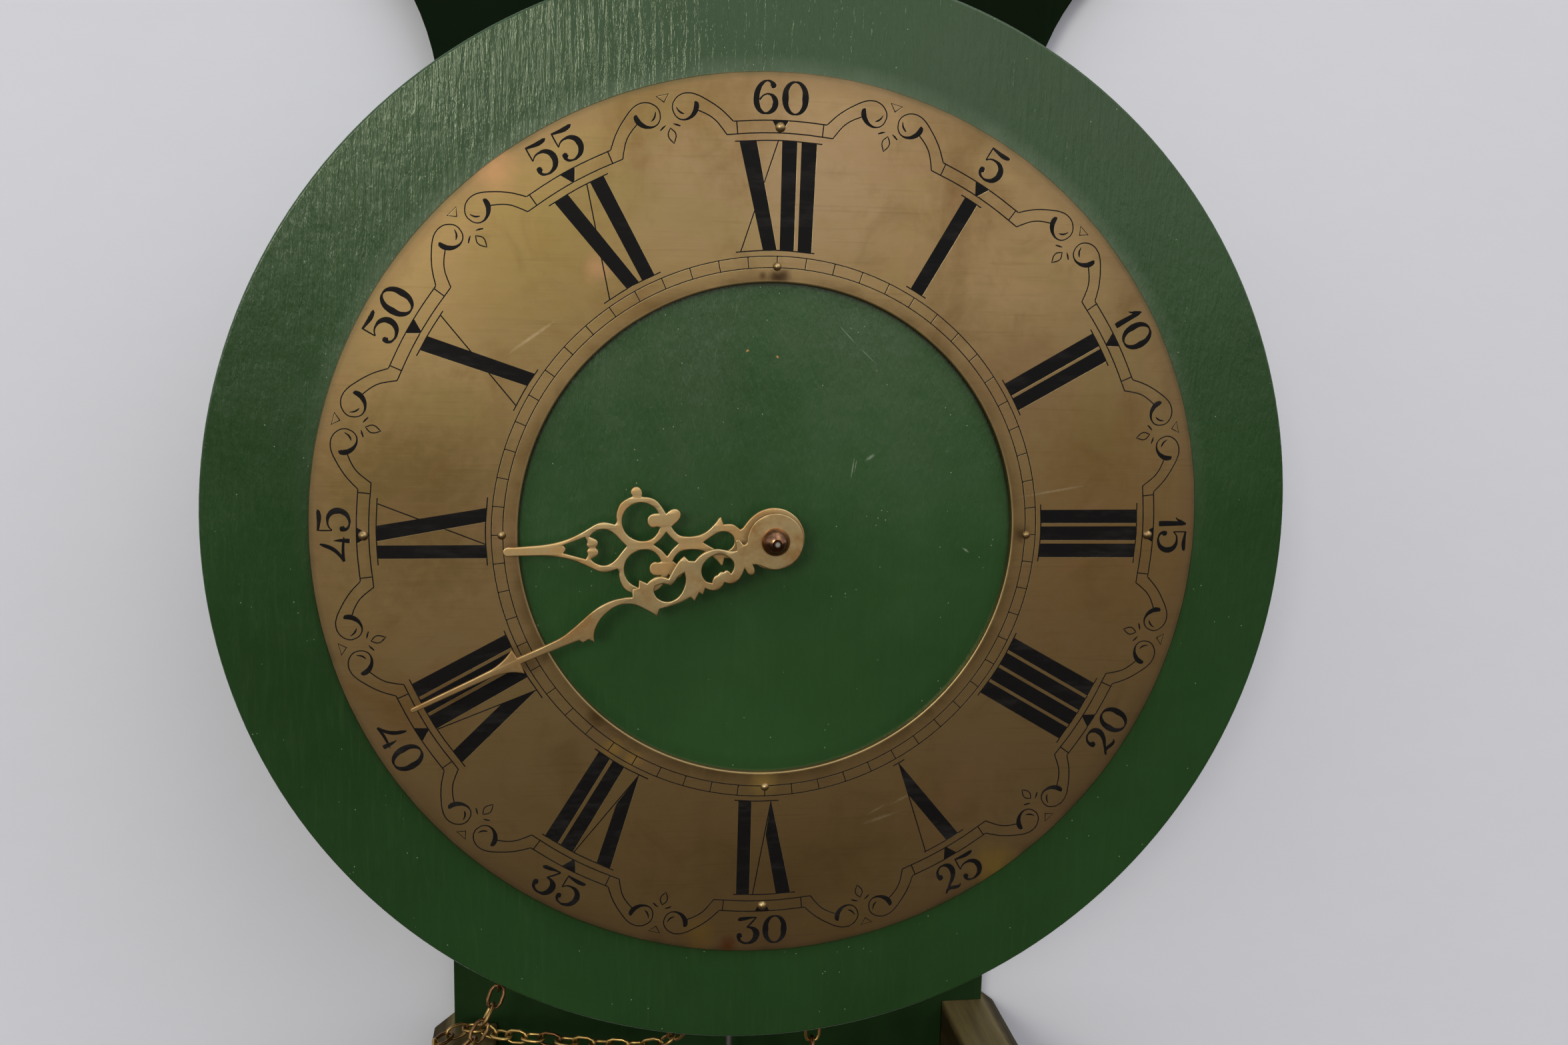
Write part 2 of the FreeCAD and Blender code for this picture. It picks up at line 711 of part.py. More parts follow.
front_plate = make_plate(front_plate_y, front_holes)
for axis, radius in ((hand_axis, stud_radius), (minute_axis, minute_stud_radius)):
    stud_hole = rod(axis, radius + press_clearance, front_plate_y - 1, front_plate_back_y + 1)
    front_plate = front_plate.cut(stud_hole)
nodes["front_plate"] = front_plate
back_plate = make_plate(back_plate_y, back_holes)
pallet_hole = rod(pallet_axis, pallet_hole_radius, back_plate_y - 1, back_plate_rear_y + 1)
nodes["back_plate"] = back_plate.cut(pallet_hole)

half_pillar = pillar_width / 2
nodes["pillars"] = Part.makeCompound([
    box(x - half_pillar, x + half_pillar, front_plate_back_y, back_plate_y, z - half_pillar, z + half_pillar)
    for x, z in pillar_places
])


# Wheel train

def make_arbor(axis, half, front_pivot, rear_pivot):
    """Square arbor between the plates with a round pivot in each of them."""
    arbor = square_bar(axis, half, front_plate_back_y + end_shake, back_plate_y - end_shake)
    arbor = arbor.fuse(rod(axis, front_pivot, front_plate_y, front_plate_back_y + end_shake))
    return arbor.fuse(rod(axis, rear_pivot, back_plate_y - end_shake, back_plate_rear_y))


nodes["great_arbor"] = make_arbor(great_axis, great_arbor_half, great_pivot_radius, great_pivot_radius)
nodes["great_wheel"] = crossed_wheel(great_axis, great_teeth, great_module,
                                     line_angle(great_axis, second_axis),
                                     great_wheel_depth, great_wheel_thickness, great_arbor_half)

leaf_front = -great_wheel_depth + great_wheel_thickness / 2 - leaf_length / 2
second_arbor = make_arbor(second_axis, second_arbor_half, second_pivot_radius, pivot_radius)
second_arbor = second_arbor.fuse(rod(second_axis, second_pivot_radius, drive_wheel_y, front_plate_y))
nodes["second_arbor"] = second_arbor.fuse(pinion(second_axis, second_leaves, great_module,
                                                 space_phase(great_axis, second_axis, second_leaves),
                                                 leaf_front, leaf_front + leaf_length))
nodes["second_wheel"] = crossed_wheel(second_axis, second_teeth, second_module,
                                      line_angle(second_axis, third_axis),
                                      second_wheel_depth, wheel_thickness, second_arbor_half)
drive_wheel = wheel(second_axis, drive_teeth, drive_module, line_angle(second_axis, hand_axis),
                    drive_wheel_y, cannon_wheel_back_y)
nodes["motion_drive_wheel"] = drive_wheel.cut(rod(second_axis, second_pivot_radius + press_clearance,
                                                  drive_wheel_y - 1, cannon_wheel_back_y + 1))

leaf_front = -second_wheel_depth + wheel_thickness / 2 - leaf_length / 2
third_arbor = make_arbor(third_axis, third_arbor_half, pivot_radius, pivot_radius)
nodes["third_arbor"] = third_arbor.fuse(pinion(third_axis, third_leaves, second_module,
                                               space_phase(second_axis, third_axis, third_leaves),
                                               leaf_front, leaf_front + leaf_length))
nodes["third_wheel"] = crossed_wheel(third_axis, third_teeth, third_module,
                                     line_angle(third_axis, escape_axis),
                                     third_wheel_depth, wheel_thickness, third_arbor_half)

leaf_front = -third_wheel_depth + wheel_thickness / 2 - leaf_length / 2
escape_arbor = make_arbor(escape_axis, escape_arbor_half, pivot_radius, pivot_radius)
nodes["escape_arbor"] = escape_arbor.fuse(pinion(escape_axis, escape_leaves, third_module,
                                                 space_phase(third_axis, escape_axis, escape_leaves),
                                                 leaf_front, leaf_front + leaf_length))


def make_escape_wheel():
    """Leaning pointed teeth: each rises on a slant and drops almost straight."""
    root = escape_radius - escape_tooth_depth
    corners = [(root, -0.9), (escape_radius, 0.4), (root, 0.3)]
    y0 = -escape_wheel_depth
    y1 = y0 + wheel_thickness
    gear = toothed(escape_axis, tooth_points(escape_teeth, 0.0, corners), y0, y1)
    gear = gear.cut(crossings(escape_axis, 4.5, root - 2.2, 4, y0 - 1, y1 + 1))
    return gear.cut(square_bar(escape_axis, escape_arbor_half + press_clearance, y0 - 1, y1 + 1))


nodes["escape_wheel"] = make_escape_wheel()


# Chain wheel, ratchet and click

def sprocket_prism(flat_radius, y0, y1):
    """Prism about the great arbor with a flat under each link that lies flat."""
    flats = sprocket_links // 2
    corner = flat_radius / math.cos(math.pi / flats)
    angles = [(2 * k + 1) * math.pi / flats for k in range(flats)]
    return toothed(great_axis, [(corner * math.cos(a), corner * math.sin(a)) for a in angles], y0, y1)


def make_sprocket():
    """Two cheeks with a groove between them for the standing links, and a spike for each flat one."""
    y0 = sprocket_y - sprocket_width / 2
    y1 = sprocket_y + sprocket_width / 2
    groove_half = link_wire / 2 + 0.6
    seat = sprocket_radius * math.cos(math.pi / sprocket_links) - link_wire / 2 - 0.3
    groove_floor = (seat - link_width / 2 + link_wire / 2) * math.cos(2 * math.pi / sprocket_links) - 0.4
    drum = sprocket_prism(seat, y0, sprocket_y - groove_half)
    drum = drum.fuse(sprocket_prism(groove_floor, sprocket_y - groove_half, sprocket_y + groove_half))
    drum = drum.fuse(sprocket_prism(seat, sprocket_y + groove_half, y1))
    spike = box(groove_floor - 0.5, seat + spike_height, -spike_half_width, spike_half_width, -1.0, 1.0)
    for k in range(sprocket_links // 2):
        turned = spike.copy()
        turned.rotate(Vec(0, 0, 0), Vec(0, 1, 0), k * 720.0 / sprocket_links)
        turned.translate(Vec(great_axis[0], sprocket_y, great_axis[1]))
        drum = drum.fuse(turned)
    return drum.cut(square_bar(great_axis, great_arbor_half + press_clearance, y0 - 1, y1 + 1))


def make_ratchet():
    corners = [(ratchet_radius - ratchet_tooth_depth, -1.0), (ratchet_radius, 0.85)]
    y0 = sprocket_y + sprocket_width / 2
    y1 = y0 + ratchet_thickness
    ratchet = toothed(great_axis, tooth_points(ratchet_teeth, 0.0, corners), y0, y1)
    return ratchet.cut(square_bar(great_axis, great_arbor_half + press_clearance, y0 - 1, y1 + 1))


nodes["chain_sprocket"] = make_sprocket()
nodes["ratchet_wheel"] = make_ratchet()

click_y = -great_wheel_depth - ratchet_thickness
rim_middle = great_root_radius - rim_depth / 2
click_pivot = (great_axis[0] + click_reach * math.cos(click_bearing),
               great_axis[1] + click_reach * math.sin(click_bearing))


def beside_click(u, v):
    return Vec(click_pivot[0] + u, click_y, click_pivot[1] + v)


click_points = [(3.4, 0.6), (1.0, 3.2), (-2.6, 2.6), (-3.2, -1.2),
                (-9.6, -4.6 + click_gap), (-9.0, -6.4 + click_gap), (0.6, -2.8)]
nodes["click"] = thick(polygon_face(click_points, beside_click), ratchet_thickness)

# The spring is bent from strip, with its foot on the rim of the great wheel
spring_foot = (great_axis[0] + rim_middle * math.cos(spring_bearing) - click_pivot[0],
               great_axis[1] + rim_middle * math.sin(spring_bearing) - click_pivot[1])
spring_points = [(spring_foot[0], spring_foot[1] + click_spring_strip), (-4.2, 4.6), (-7.6, -1.6),
                 (-6.9, -1.9), (-3.8, 4.6 - click_spring_strip), spring_foot]
nodes["click_spring"] = thick(polygon_face(spring_points, beside_click), ratchet_thickness)


# Pallets, crutch and cock

anchor_y = -escape_wheel_depth - (anchor_thickness - wheel_thickness) / 2
crutch_y = back_plate_rear_y + crutch_room
cock_face_y = -cock_depth - cock_thickness
arbor_front_y = front_plate_back_y + end_shake
arbor_rear_y = cock_face_y - end_shake
pallet_arbor = square_bar(pallet_axis, pallet_arbor_half, arbor_front_y, arbor_rear_y)
pallet_arbor = pallet_arbor.fuse(rod(pallet_axis, pivot_radius, front_plate_y, arbor_front_y))
nodes["pallet_arbor"] = pallet_arbor.fuse(rod(pallet_axis, pallet_pivot_radius, arbor_rear_y, -cock_depth))


def make_anchor():
    """Two curved arms over the escape wheel, each ending in a nib just clear of the teeth."""
    nib = escape_radius + pallet_gap
    nib_angle = math.radians(45)
    nib_tip = (nib * math.sin(nib_angle), escape_axis[1] + nib * math.cos(nib_angle))
    half = [
        [(pallet_axis[1] + 1.5, 7.0), (nib_tip[1] + 5.0, nib_tip[0] + 3.2)],
        [(nib_tip[1] - 1.6, nib_tip[0] + 3.4)],
        [(nib_tip[1], nib_tip[0])],
        [(nib_tip[1] + 4.5, nib_tip[0] - 3.2), (pallet_axis[1] - anchor_hub_radius, 0.0)],
    ]
    start = (pallet_axis[1] + anchor_hub_radius, 0.0)
    face = outline_face(start, mirrored_runs(start, half), lambda z, x: Vec(x, anchor_y, z))
    anchor = thick(face, anchor_thickness)
    hole_half = pallet_arbor_half + press_clearance
    return anchor.cut(square_bar(pallet_axis, hole_half, anchor_y - 1, anchor_y + anchor_thickness + 1))


nodes["pallet_anchor"] = make_anchor()

fork_z = pallet_axis[1] - crutch_length
fork_inner = rod_radius + fork_clearance
fork_outer = fork_inner + fork_prong
fork_rear_y = pendulum_y + rod_radius + fork_reach
crutch_rear_y = crutch_y + crutch_thickness
crutch = box(-crutch_width / 2, crutch_width / 2, crutch_y, crutch_rear_y, fork_z, pallet_axis[1])
crutch = crutch.fuse(square_bar(pallet_axis, pallet_arbor_half + crutch_hub, crutch_y,
                                crutch_y + crutch_hub_thickness))
crutch = crutch.fuse(box(-fork_outer, fork_outer, crutch_y, crutch_rear_y, fork_z - fork_height, fork_z))
for side in (-1, 1):
    low, high = sorted((side * fork_inner, side * fork_outer))
    crutch = crutch.fuse(box(low, high, crutch_y, fork_rear_y, fork_z - fork_height, fork_z))
nodes["crutch"] = crutch.cut(square_bar(pallet_axis, pallet_arbor_half + press_clearance,
                                        crutch_y - 1, crutch_y + crutch_hub_thickness + 1))

cock_bottom = pallet_axis[1] - cock_below
cock_top = pallet_axis[1] + cock_above
spring_clamp_z = pallet_axis[1] + spring_clamp_gap
cock = box(-cock_half_width, cock_half_width, cock_face_y, -cock_depth, cock_bottom, cock_top)
for side in (-1, 1):
    low, high = sorted((side * (cock_half_width - cock_leg), side * cock_half_width))
    cock = cock.fuse(box(low, high, back_plate_rear_y, cock_face_y, cock_bottom, cock_top))
cock = cock.fuse(box(-cock_lug_half, cock_lug_half, -cock_depth, pendulum_y + spring_width / 2 + 1,
                     spring_clamp_z, cock_top))
pallet_bore_radius = pallet_pivot_radius + pivot_clearance
pallet_rear_hole = rod(pallet_axis, pallet_bore_radius, cock_face_y - 1, -cock_depth + 0.01)
nodes["back_cock"] = cock.cut(pallet_rear_hole)


# Pendulum

bob_z = pallet_axis[1] - pendulum_length
spring_bottom = pallet_axis[1] - spring_length
rod_top = spring_bottom - chop_height
spring_front_y = pendulum_y - spring_width / 2
spring_rear_y = pendulum_y + spring_width / 2
spring = box(-spring_thickness / 2, spring_thickness / 2, spring_front_y, spring_rear_y,
             spring_bottom, pallet_axis[1])
chop = box(-chop_half, chop_half, spring_front_y, spring_rear_y, rod_top, spring_bottom)
nodes["suspension_spring"] = spring.fuse(chop)
bob_bottom = bob_z - bob_radius
rod_end = bob_bottom - rod_tail
rod_hole_radius = rod_radius + press_clearance
nodes["pendulum_rod"] = post(0, pendulum_y, rod_radius, rod_end, rod_top)

bob = rod((0, bob_z), bob_radius, pendulum_y - bob_thickness / 2, pendulum_y + bob_thickness / 2)
nodes["pendulum_bob"] = bob.cut(post(0, pendulum_y, rod_hole_radius, bob_bottom - 1, bob_z + bob_radius + 1))
nut_top = bob_bottom - rating_gap
rating_nut = post(0, pendulum_y, rating_nut_radius, nut_top - rating_nut_height, nut_top)
nodes["rating_nut"] = rating_nut.cut(post(0, pendulum_y, rod_hole_radius, rod_end, bob_z))


# Chain

def make_link():
    """Flat oval link: its length along X, its width along Y, its wire along Z."""
    half, wide = link_length / 2, link_width / 2
    straight = half - link_corner
    outer = [(half, 0), (straight, wide), (-straight, wide),
             (-half, 0), (-straight, -wide), (straight, -wide)]
    reach = half - link_wire
    gap = wide - link_wire
    inner = [(reach, gap), (-reach, gap), (-reach, -gap), (reach, -gap)]
    flat = polygon_face(outer, lambda u, v: Vec(u, v, -link_wire / 2))
    flat = flat.cut(polygon_face(inner, lambda u, v: Vec(u, v, -link_wire / 2)))
    return flat.extrude(Vec(0, 0, link_wire))


link_shape = make_link()


def place_link(centre, along, index):
    """One link at a point of the chain; every other link stands across its neighbours."""
    along = Vec(along).normalize()
    across = Vec(0, 1, 0) - along * along.y
    if across.Length < 0.05:
        across = Vec(1, 0, 0) - along * along.x
    across.normalize()
    third = along.cross(across)
    normal = third if index % 2 else across
    side = normal.cross(along)
    matrix = FreeCAD.Matrix(along.x, side.x, normal.x, centre.x,
                            along.y, side.y, normal.y, centre.y,
                            along.z, side.z, normal.z, centre.z,
                            0, 0, 0, 1)
    link = link_shape.copy()
    link.Placement = FreeCAD.Placement(matrix)
    return link


def links_over_sprocket():
    """Half a turn of links, from the weight's side to the slack side."""
    reach = sprocket_radius * math.cos(math.pi / sprocket_links)
    links = []
    for k in range(sprocket_links // 2 + 1):
        angle = math.pi * 2 * k / sprocket_links
        outward = Vec(math.cos(angle), 0, math.sin(angle))
        centre = Vec(great_axis[0], sprocket_y, great_axis[1]) + outward * reach
        links.append(place_link(centre, Vec(-outward.z, 0, outward.x), k + 1))
    return links


def straight_links(x, count, first_index):
    """Links that hang straight down from the height of the sprocket's middle."""
    links = []
    for k in range(1, count + 1):
        centre = Vec(x, sprocket_y, great_axis[1] - k * link_pitch)
        links.append(place_link(centre, Vec(0, 0, 1), first_index + k))
    return links


lead_index = sprocket_links // 2 + 1
slack_index = lead_index + lead_links + 1
drive_links = links_over_sprocket()
drive_links += straight_links(right_fall_x, fall_links, 1)
drive_links += straight_links(left_fall_x, lead_links, lead_index)
nodes["drive_chain"] = Part.makeCompound(drive_links)

# The slack side: down through the seat board, across to the left cheek, and up to a nail in the case
chain_rest_z = -shoulder_drop + link_width * 0.65
nail_y = -nail_depth
nail_x = -case_half_width - nail_reach / 2
last_link_z = -nail_drop - link_length / 2 + link_wire + nail_radius + hook_gap
slack_route = [
    (left_fall_x, sprocket_y, great_axis[1] - (lead_links + 1) * link_pitch),
    (left_fall_x, sprocket_y, -125.0),
    (left_fall_x, sprocket_y, -150.0),
    (-21.0, -72.0, -190.0),
    (-24.0, -62.0, -216.0),
    (-34.0, -55.0, -226.0),
    (-47.0, -51.0, -228.0),
    (-66.0, -45.0, -229.0),
    (-83.0, -39.5, -229.0),
    (-97.0, -33.0, chain_rest_z + 1.0),
    (-110.0, -25.0, chain_rest_z),
    (-121.0, -33.0, chain_rest_z - 0.5),
    (-120.0, -44.0, chain_rest_z + 0.5),
    (-113.0, -51.0, chain_rest_z + 4.0),
    (-106.0, -50.0, chain_rest_z + 9.5),
    (-101.0, -45.0, chain_rest_z + 16.5),
    (-97.0, -41.0, chain_rest_z + 25.0),
    (-97.0, -40.5, -195.0),
    (-102.0, -42.5, -181.0),
    (nail_x, nail_y, -168.0),
    (nail_x, nail_y, -156.0),
    (nail_x, nail_y, last_link_z),
]


def links_on_route(points):
    curve = Part.BSplineCurve()
    curve.interpolate([Vec(*point) for point in points])
    edge = curve.toShape()
    gaps = 2 * math.ceil(edge.Length / link_pitch / 2)
    step = edge.Length / gaps
    links = []
    for k in range(gaps + 1):
        parameter = edge.getParameterByLength(min(k * step, edge.Length))
        links.append(place_link(edge.valueAt(parameter), edge.tangentAt(parameter), slack_index + k))
    print("slack chain", round(edge.Length, 1), "mm,", len(links), "links,", round(step, 2), "mm apart")
    return links


nodes["slack_chain"] = Part.makeCompound(links_on_route(slack_route))
nail_root = Vec(-case_half_width, nail_y, -nail_drop)
nodes["chain_nail"] = Part.makeCylinder(nail_radius, nail_reach, nail_root, Vec(-1, 0, 0))


# Weight

last_link_inner_z = great_axis[1] - fall_links * link_pitch - link_length / 2 + link_wire
hook_z = last_link_inner_z + hook_gap - hook_eye
weight_top = hook_z - hook_eye - hook_shank


def hook_octagon(flat_radius):
    corner = flat_radius / math.cos(math.pi / 8)
    angles = [(2 * k + 1) * math.pi / 8 for k in range(8)]
    corners = [(right_fall_x + corner * math.cos(a), hook_z + corner * math.sin(a)) for a in angles]
    return polygon_face(corners, in_front_view(sprocket_y - hook_bar / 2))


hook = thick(hook_octagon(hook_eye + hook_bar).cut(hook_octagon(hook_eye)), hook_bar)
half_bar = hook_bar / 2
shank = box(right_fall_x - half_bar, right_fall_x + half_bar, sprocket_y - half_bar, sprocket_y + half_bar,
            weight_top, hook_z - hook_eye - half_bar)
nodes["weight_hook"] = hook.fuse(shank)
nodes["weight"] = post(right_fall_x, sprocket_y, weight_radius, weight_top - weight_height, weight_top)


os.makedirs("parts", exist_ok=True)
for name, shape in nodes.items():
    shape.exportStep("parts/" + name + ".step")
print(len(nodes), "nodes")
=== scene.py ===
import json
import math
import random

import bmesh
import bpy
import numpy as np
from bpy.props import FloatProperty, FloatVectorProperty, IntProperty, PointerProperty
from mathutils import Matrix, Vector


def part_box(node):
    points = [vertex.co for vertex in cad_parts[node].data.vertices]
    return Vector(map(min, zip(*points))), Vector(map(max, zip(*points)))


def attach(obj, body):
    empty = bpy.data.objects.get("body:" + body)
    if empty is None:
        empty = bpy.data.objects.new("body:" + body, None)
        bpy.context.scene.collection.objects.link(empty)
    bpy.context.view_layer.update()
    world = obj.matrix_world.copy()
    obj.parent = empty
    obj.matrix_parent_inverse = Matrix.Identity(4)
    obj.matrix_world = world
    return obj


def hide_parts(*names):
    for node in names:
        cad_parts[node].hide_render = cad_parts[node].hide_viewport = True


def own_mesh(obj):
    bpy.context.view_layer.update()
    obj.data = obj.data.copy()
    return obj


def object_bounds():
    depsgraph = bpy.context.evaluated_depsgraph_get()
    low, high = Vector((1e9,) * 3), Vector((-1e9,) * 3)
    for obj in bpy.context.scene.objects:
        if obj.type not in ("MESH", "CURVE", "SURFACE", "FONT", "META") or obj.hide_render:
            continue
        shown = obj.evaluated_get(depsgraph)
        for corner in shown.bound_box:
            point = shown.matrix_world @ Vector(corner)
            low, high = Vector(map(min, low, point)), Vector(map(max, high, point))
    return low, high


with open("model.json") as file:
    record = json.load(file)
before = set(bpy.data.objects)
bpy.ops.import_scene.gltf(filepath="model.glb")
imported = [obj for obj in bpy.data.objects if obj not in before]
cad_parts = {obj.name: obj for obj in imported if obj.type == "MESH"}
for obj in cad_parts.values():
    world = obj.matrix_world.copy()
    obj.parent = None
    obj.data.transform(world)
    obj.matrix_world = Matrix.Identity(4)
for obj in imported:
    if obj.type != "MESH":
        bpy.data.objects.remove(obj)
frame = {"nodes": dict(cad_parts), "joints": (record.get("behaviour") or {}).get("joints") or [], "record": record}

cad_low, cad_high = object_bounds()

bl_info = {
    "name": "Weight-driven wall clock",
    "version": (1, 0, 0),
    "blender": (4, 5, 0),
    "location": "View3D > Sidebar > Clock",
    "description": "Builds a wall clock's dial, hands, chain, weight, pendulum and boards on its frame",
    "category": "Object",
}

# Shapes are written in millimetres and placed in metres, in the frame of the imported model.
# The dial is drawn in (u, v): v from its centre towards a minute mark, u clockwise across that line.
MM = 0.001
WELD = 1e-6                  # metres: corners nearer than this are one
TURN_WELD = 1e-7
FLAT_ANGLE, SHARP_ANGLE = 1.0, 30.0     # degrees: faces that are one, edges that are rounded
HOUR_STEP, MINUTE_STEP = 30.0, 6.0      # degrees round the dial
NO_DEPTH = 1000.0            # metres: stretch along Y that leaves only the distance across the dial
RING_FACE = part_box("chapter_ring")[0].y
HOUR_HAND_ANGLE = 267.2      # degrees clockwise from the top
MINUTE_HAND_ANGLE = 244.7

# Hour numerals in u. Bars: left and right edge at the top, then at the foot. Ex: the same, then the ends of
# its thin stroke. Vee: left and right edge at the top, knee, point, top of its thin stroke. Top and foot:
# ends of the end lines.
NUMERAL_TOP = 128.7
NUMERAL_FOOT = 94.1
HAIRLINE = 0.20              # half the width of the thin strokes and the end lines
VEE_KNEE = 106.6
HOUR_NUMERALS = (
    {"bars": [(0.7, 5.6, 0.7, 5.3), (7.0, 12.0, 6.6, 11.1)], "ex": (-13.1, -7.6, -4.8, -0.3, -0.5, -12.0),
     "top": (-14.5, 13.8), "foot": (-13.6, 12.2)},
    {"bars": [(-2.9, 1.9, -2.7, 1.9)], "top": (-4.4, 3.6), "foot": (-4.4, 3.4)},
    {"bars": [(-5.9, -0.9, -5.7, -0.9), (0.1, 4.9, 0.1, 4.7)], "top": (-7.4, 6.7), "foot": (-7.3, 6.6)},
    {"bars": [(-8.9, -4.1, -8.7, -4.1), (-3.0, 2.0, -2.9, 1.9), (3.2, 8.1, 3.1, 7.9)],
     "top": (-11.2, 10.1), "foot": (-10.6, 9.5)},
    {"bars": [(-12.1, -7.0, -11.6, -6.9), (-5.9, -1.0, -5.8, -1.0), (0.1, 5.2, 0.1, 5.1),
              (6.3, 11.3, 6.2, 11.0)],
     "top": (-14.1, 13.0), "foot": (-13.4, 12.4)},
    {"bars": [], "vee": (-6.4, -1.6, 2.3, -0.2, 6.9), "top": (-8.7, 7.4), "foot": (-2.5, 2.0)},
    {"bars": [(4.7, 9.3, 4.6, 9.1)], "vee": (-9.9, -4.8, -0.7, -2.3, 3.5), "top": (-11.7, 10.4),
     "foot": (-5.0, 10.5)},
    {"bars": [(1.9, 6.8, 1.8, 6.3), (8.0, 13.1, 7.6, 12.1)], "vee": (-12.4, -7.3, -2.5, -4.1, 1.5),
     "top": (-13.8, 14.2), "foot": (-7.6, 13.8)},
    {"bars": [(-1.3, 3.7, -1.3, 3.3), (4.8, 9.9, 4.5, 9.2), (11.0, 16.0, 10.3, 15.0)],
     "vee": (-15.8, -10.8, -5.0, -6.7, -1.6), "top": (-17.6, 17.8), "foot": (-10.1, 16.4)},
    {"bars": [(-7.7, -3.3, -7.6, -3.2)], "ex": (-1.9, 3.2, 4.5, 9.1, 10.5, -3.0), "top": (-9.9, 12.3),
     "foot": (-10.1, 12.6)},
    {"bars": [], "ex": (-5.1, 0.0, 2.2, 6.9, 7.9, -5.1), "top": (-7.2, 9.4), "foot": (-7.0, 8.6)},
    {"bars": [(4.5, 9.3, 3.8, 8.2)], "ex": (-8.5, -3.5, -1.8, 2.7, 3.4, -8.3), "top": (-10.5, 10.9),
     "foot": (-10.5, 10.4)},
)

# Figures of the minute numbers: width, then strokes of (x, y, half the stroke's width) from the lower left
# corner. A stroke that ends with None is closed.
FIGURES = {
    "0": (8.2, [[(4.1, 10.2, 0.22), (6.5, 8.8, 0.6), (7.35, 5.2, 0.9), (6.5, 1.6, 0.6),
                 (4.1, 0.2, 0.22), (1.7, 1.6, 0.6), (0.85, 5.2, 0.9), (1.7, 8.8, 0.6), None]]),
    "1": (3.3, [[(2.5, 10.2, 0.2), (2.35, 8.6, 0.6), (2.3, 5.0, 0.72), (2.35, 1.0, 0.8), (2.4, 0.1, 0.7)],
                [(2.3, 9.7, 0.3), (1.5, 8.0, 0.42), (0.9, 6.9, 0.25), (0.2, 6.2, 0.1)]]),
    "2": (7.0, [[(1.9, 6.1, 0.35), (1.35, 6.7, 0.95), (0.9, 8.2, 0.45), (2.0, 10.0, 0.28), (3.8, 10.5, 0.25),
                 (5.8, 9.4, 0.7), (6.3, 7.4, 0.85), (5.4, 5.0, 0.65), (3.0, 2.7, 0.4), (1.0, 0.9, 0.3),
                 (0.3, 0.3, 0.2)],
                [(0.4, 0.4, 0.25), (1.4, 1.3, 0.4), (2.6, 1.4, 0.5), (4.2, 0.8, 0.55), (5.4, 0.5, 0.5),
                 (6.2, 0.7, 0.25), (6.5, 1.3, 0.1)]]),
    "3": (7.8, [[(0.3, 9.2, 0.3), (1.2, 9.4, 0.6), (3.0, 9.6, 0.55), (5.0, 9.85, 0.3), (6.9, 9.9, 0.2)],
                [(6.9, 9.9, 0.2), (5.2, 8.0, 0.28), (3.5, 6.3, 0.2)],
                [(3.5, 6.3, 0.2), (5.0, 6.1, 0.4), (6.7, 4.6, 0.9), (6.9, 3.2, 0.95), (5.8, 1.1, 0.7),
                 (3.8, 0.3, 0.3), (1.6, 0.9, 0.35), (0.7, 2.2, 0.5), (1.0, 3.4, 0.9), (1.5, 4.0, 0.3)]]),
    "4": (8.6, [[(6.1, 9.7, 0.2), (5.6, 8.2, 0.5), (4.4, 5.6, 0.55), (2.4, 3.5, 0.45), (0.3, 2.2, 0.3)],
                [(0.3, 2.2, 0.3), (3.0, 2.5, 0.4), (6.0, 2.4, 0.35), (8.5, 2.1, 0.12)],
                [(7.2, 5.3, 0.12), (7.3, 3.4, 0.42), (7.2, 1.4, 0.62), (7.1, 0.3, 0.6)]]),
    "5": (7.7, [[(0.3, 10.2, 0.25), (2.0, 9.95, 0.4), (4.8, 9.7, 0.62), (6.6, 9.9, 0.5), (7.3, 10.1, 0.15)],
                [(0.5, 10.2, 0.2), (0.45, 8.0, 0.2), (0.5, 5.7, 0.18)],
                [(0.5, 5.7, 0.15), (1.6, 6.7, 0.2), (3.2, 7.1, 0.28), (5.6, 6.5, 0.6), (6.9, 4.4, 0.85),
                 (6.2, 1.7, 0.7), (4.2, 0.4, 0.4), (2.5, 0.3, 0.25), (0.9, 1.3, 0.4), (1.1, 2.6, 0.85),
                 (1.6, 3.2, 0.3)]]),
    "6": (7.8, [[(6.0, 8.0, 0.3), (6.2, 8.8, 0.85), (5.4, 10.0, 0.35), (4.2, 10.3, 0.22), (2.6, 9.4, 0.5),
                 (1.3, 7.3, 0.72), (0.85, 4.9, 0.78), (1.1, 2.6, 0.75), (2.4, 0.75, 0.5), (3.9, 0.25, 0.25),
                 (5.8, 1.0, 0.6), (6.95, 2.9, 0.78), (6.6, 5.0, 0.65), (5.0, 6.2, 0.25), (3.2, 5.8, 0.2),
                 (1.9, 4.4, 0.25)]]),
}
FIGURE_GAP = 1.5
FIGURE_HALF_HEIGHT = 5.2
FIGURE_WEIGHT = 1.22          # thickening of every stroke of the figures
FIGURE_MIDDLE = 141.9
UPSIDE_DOWN_HOURS = (4, 5, 6, 7, 8)     # minute numbers that stand with their heads to the centre

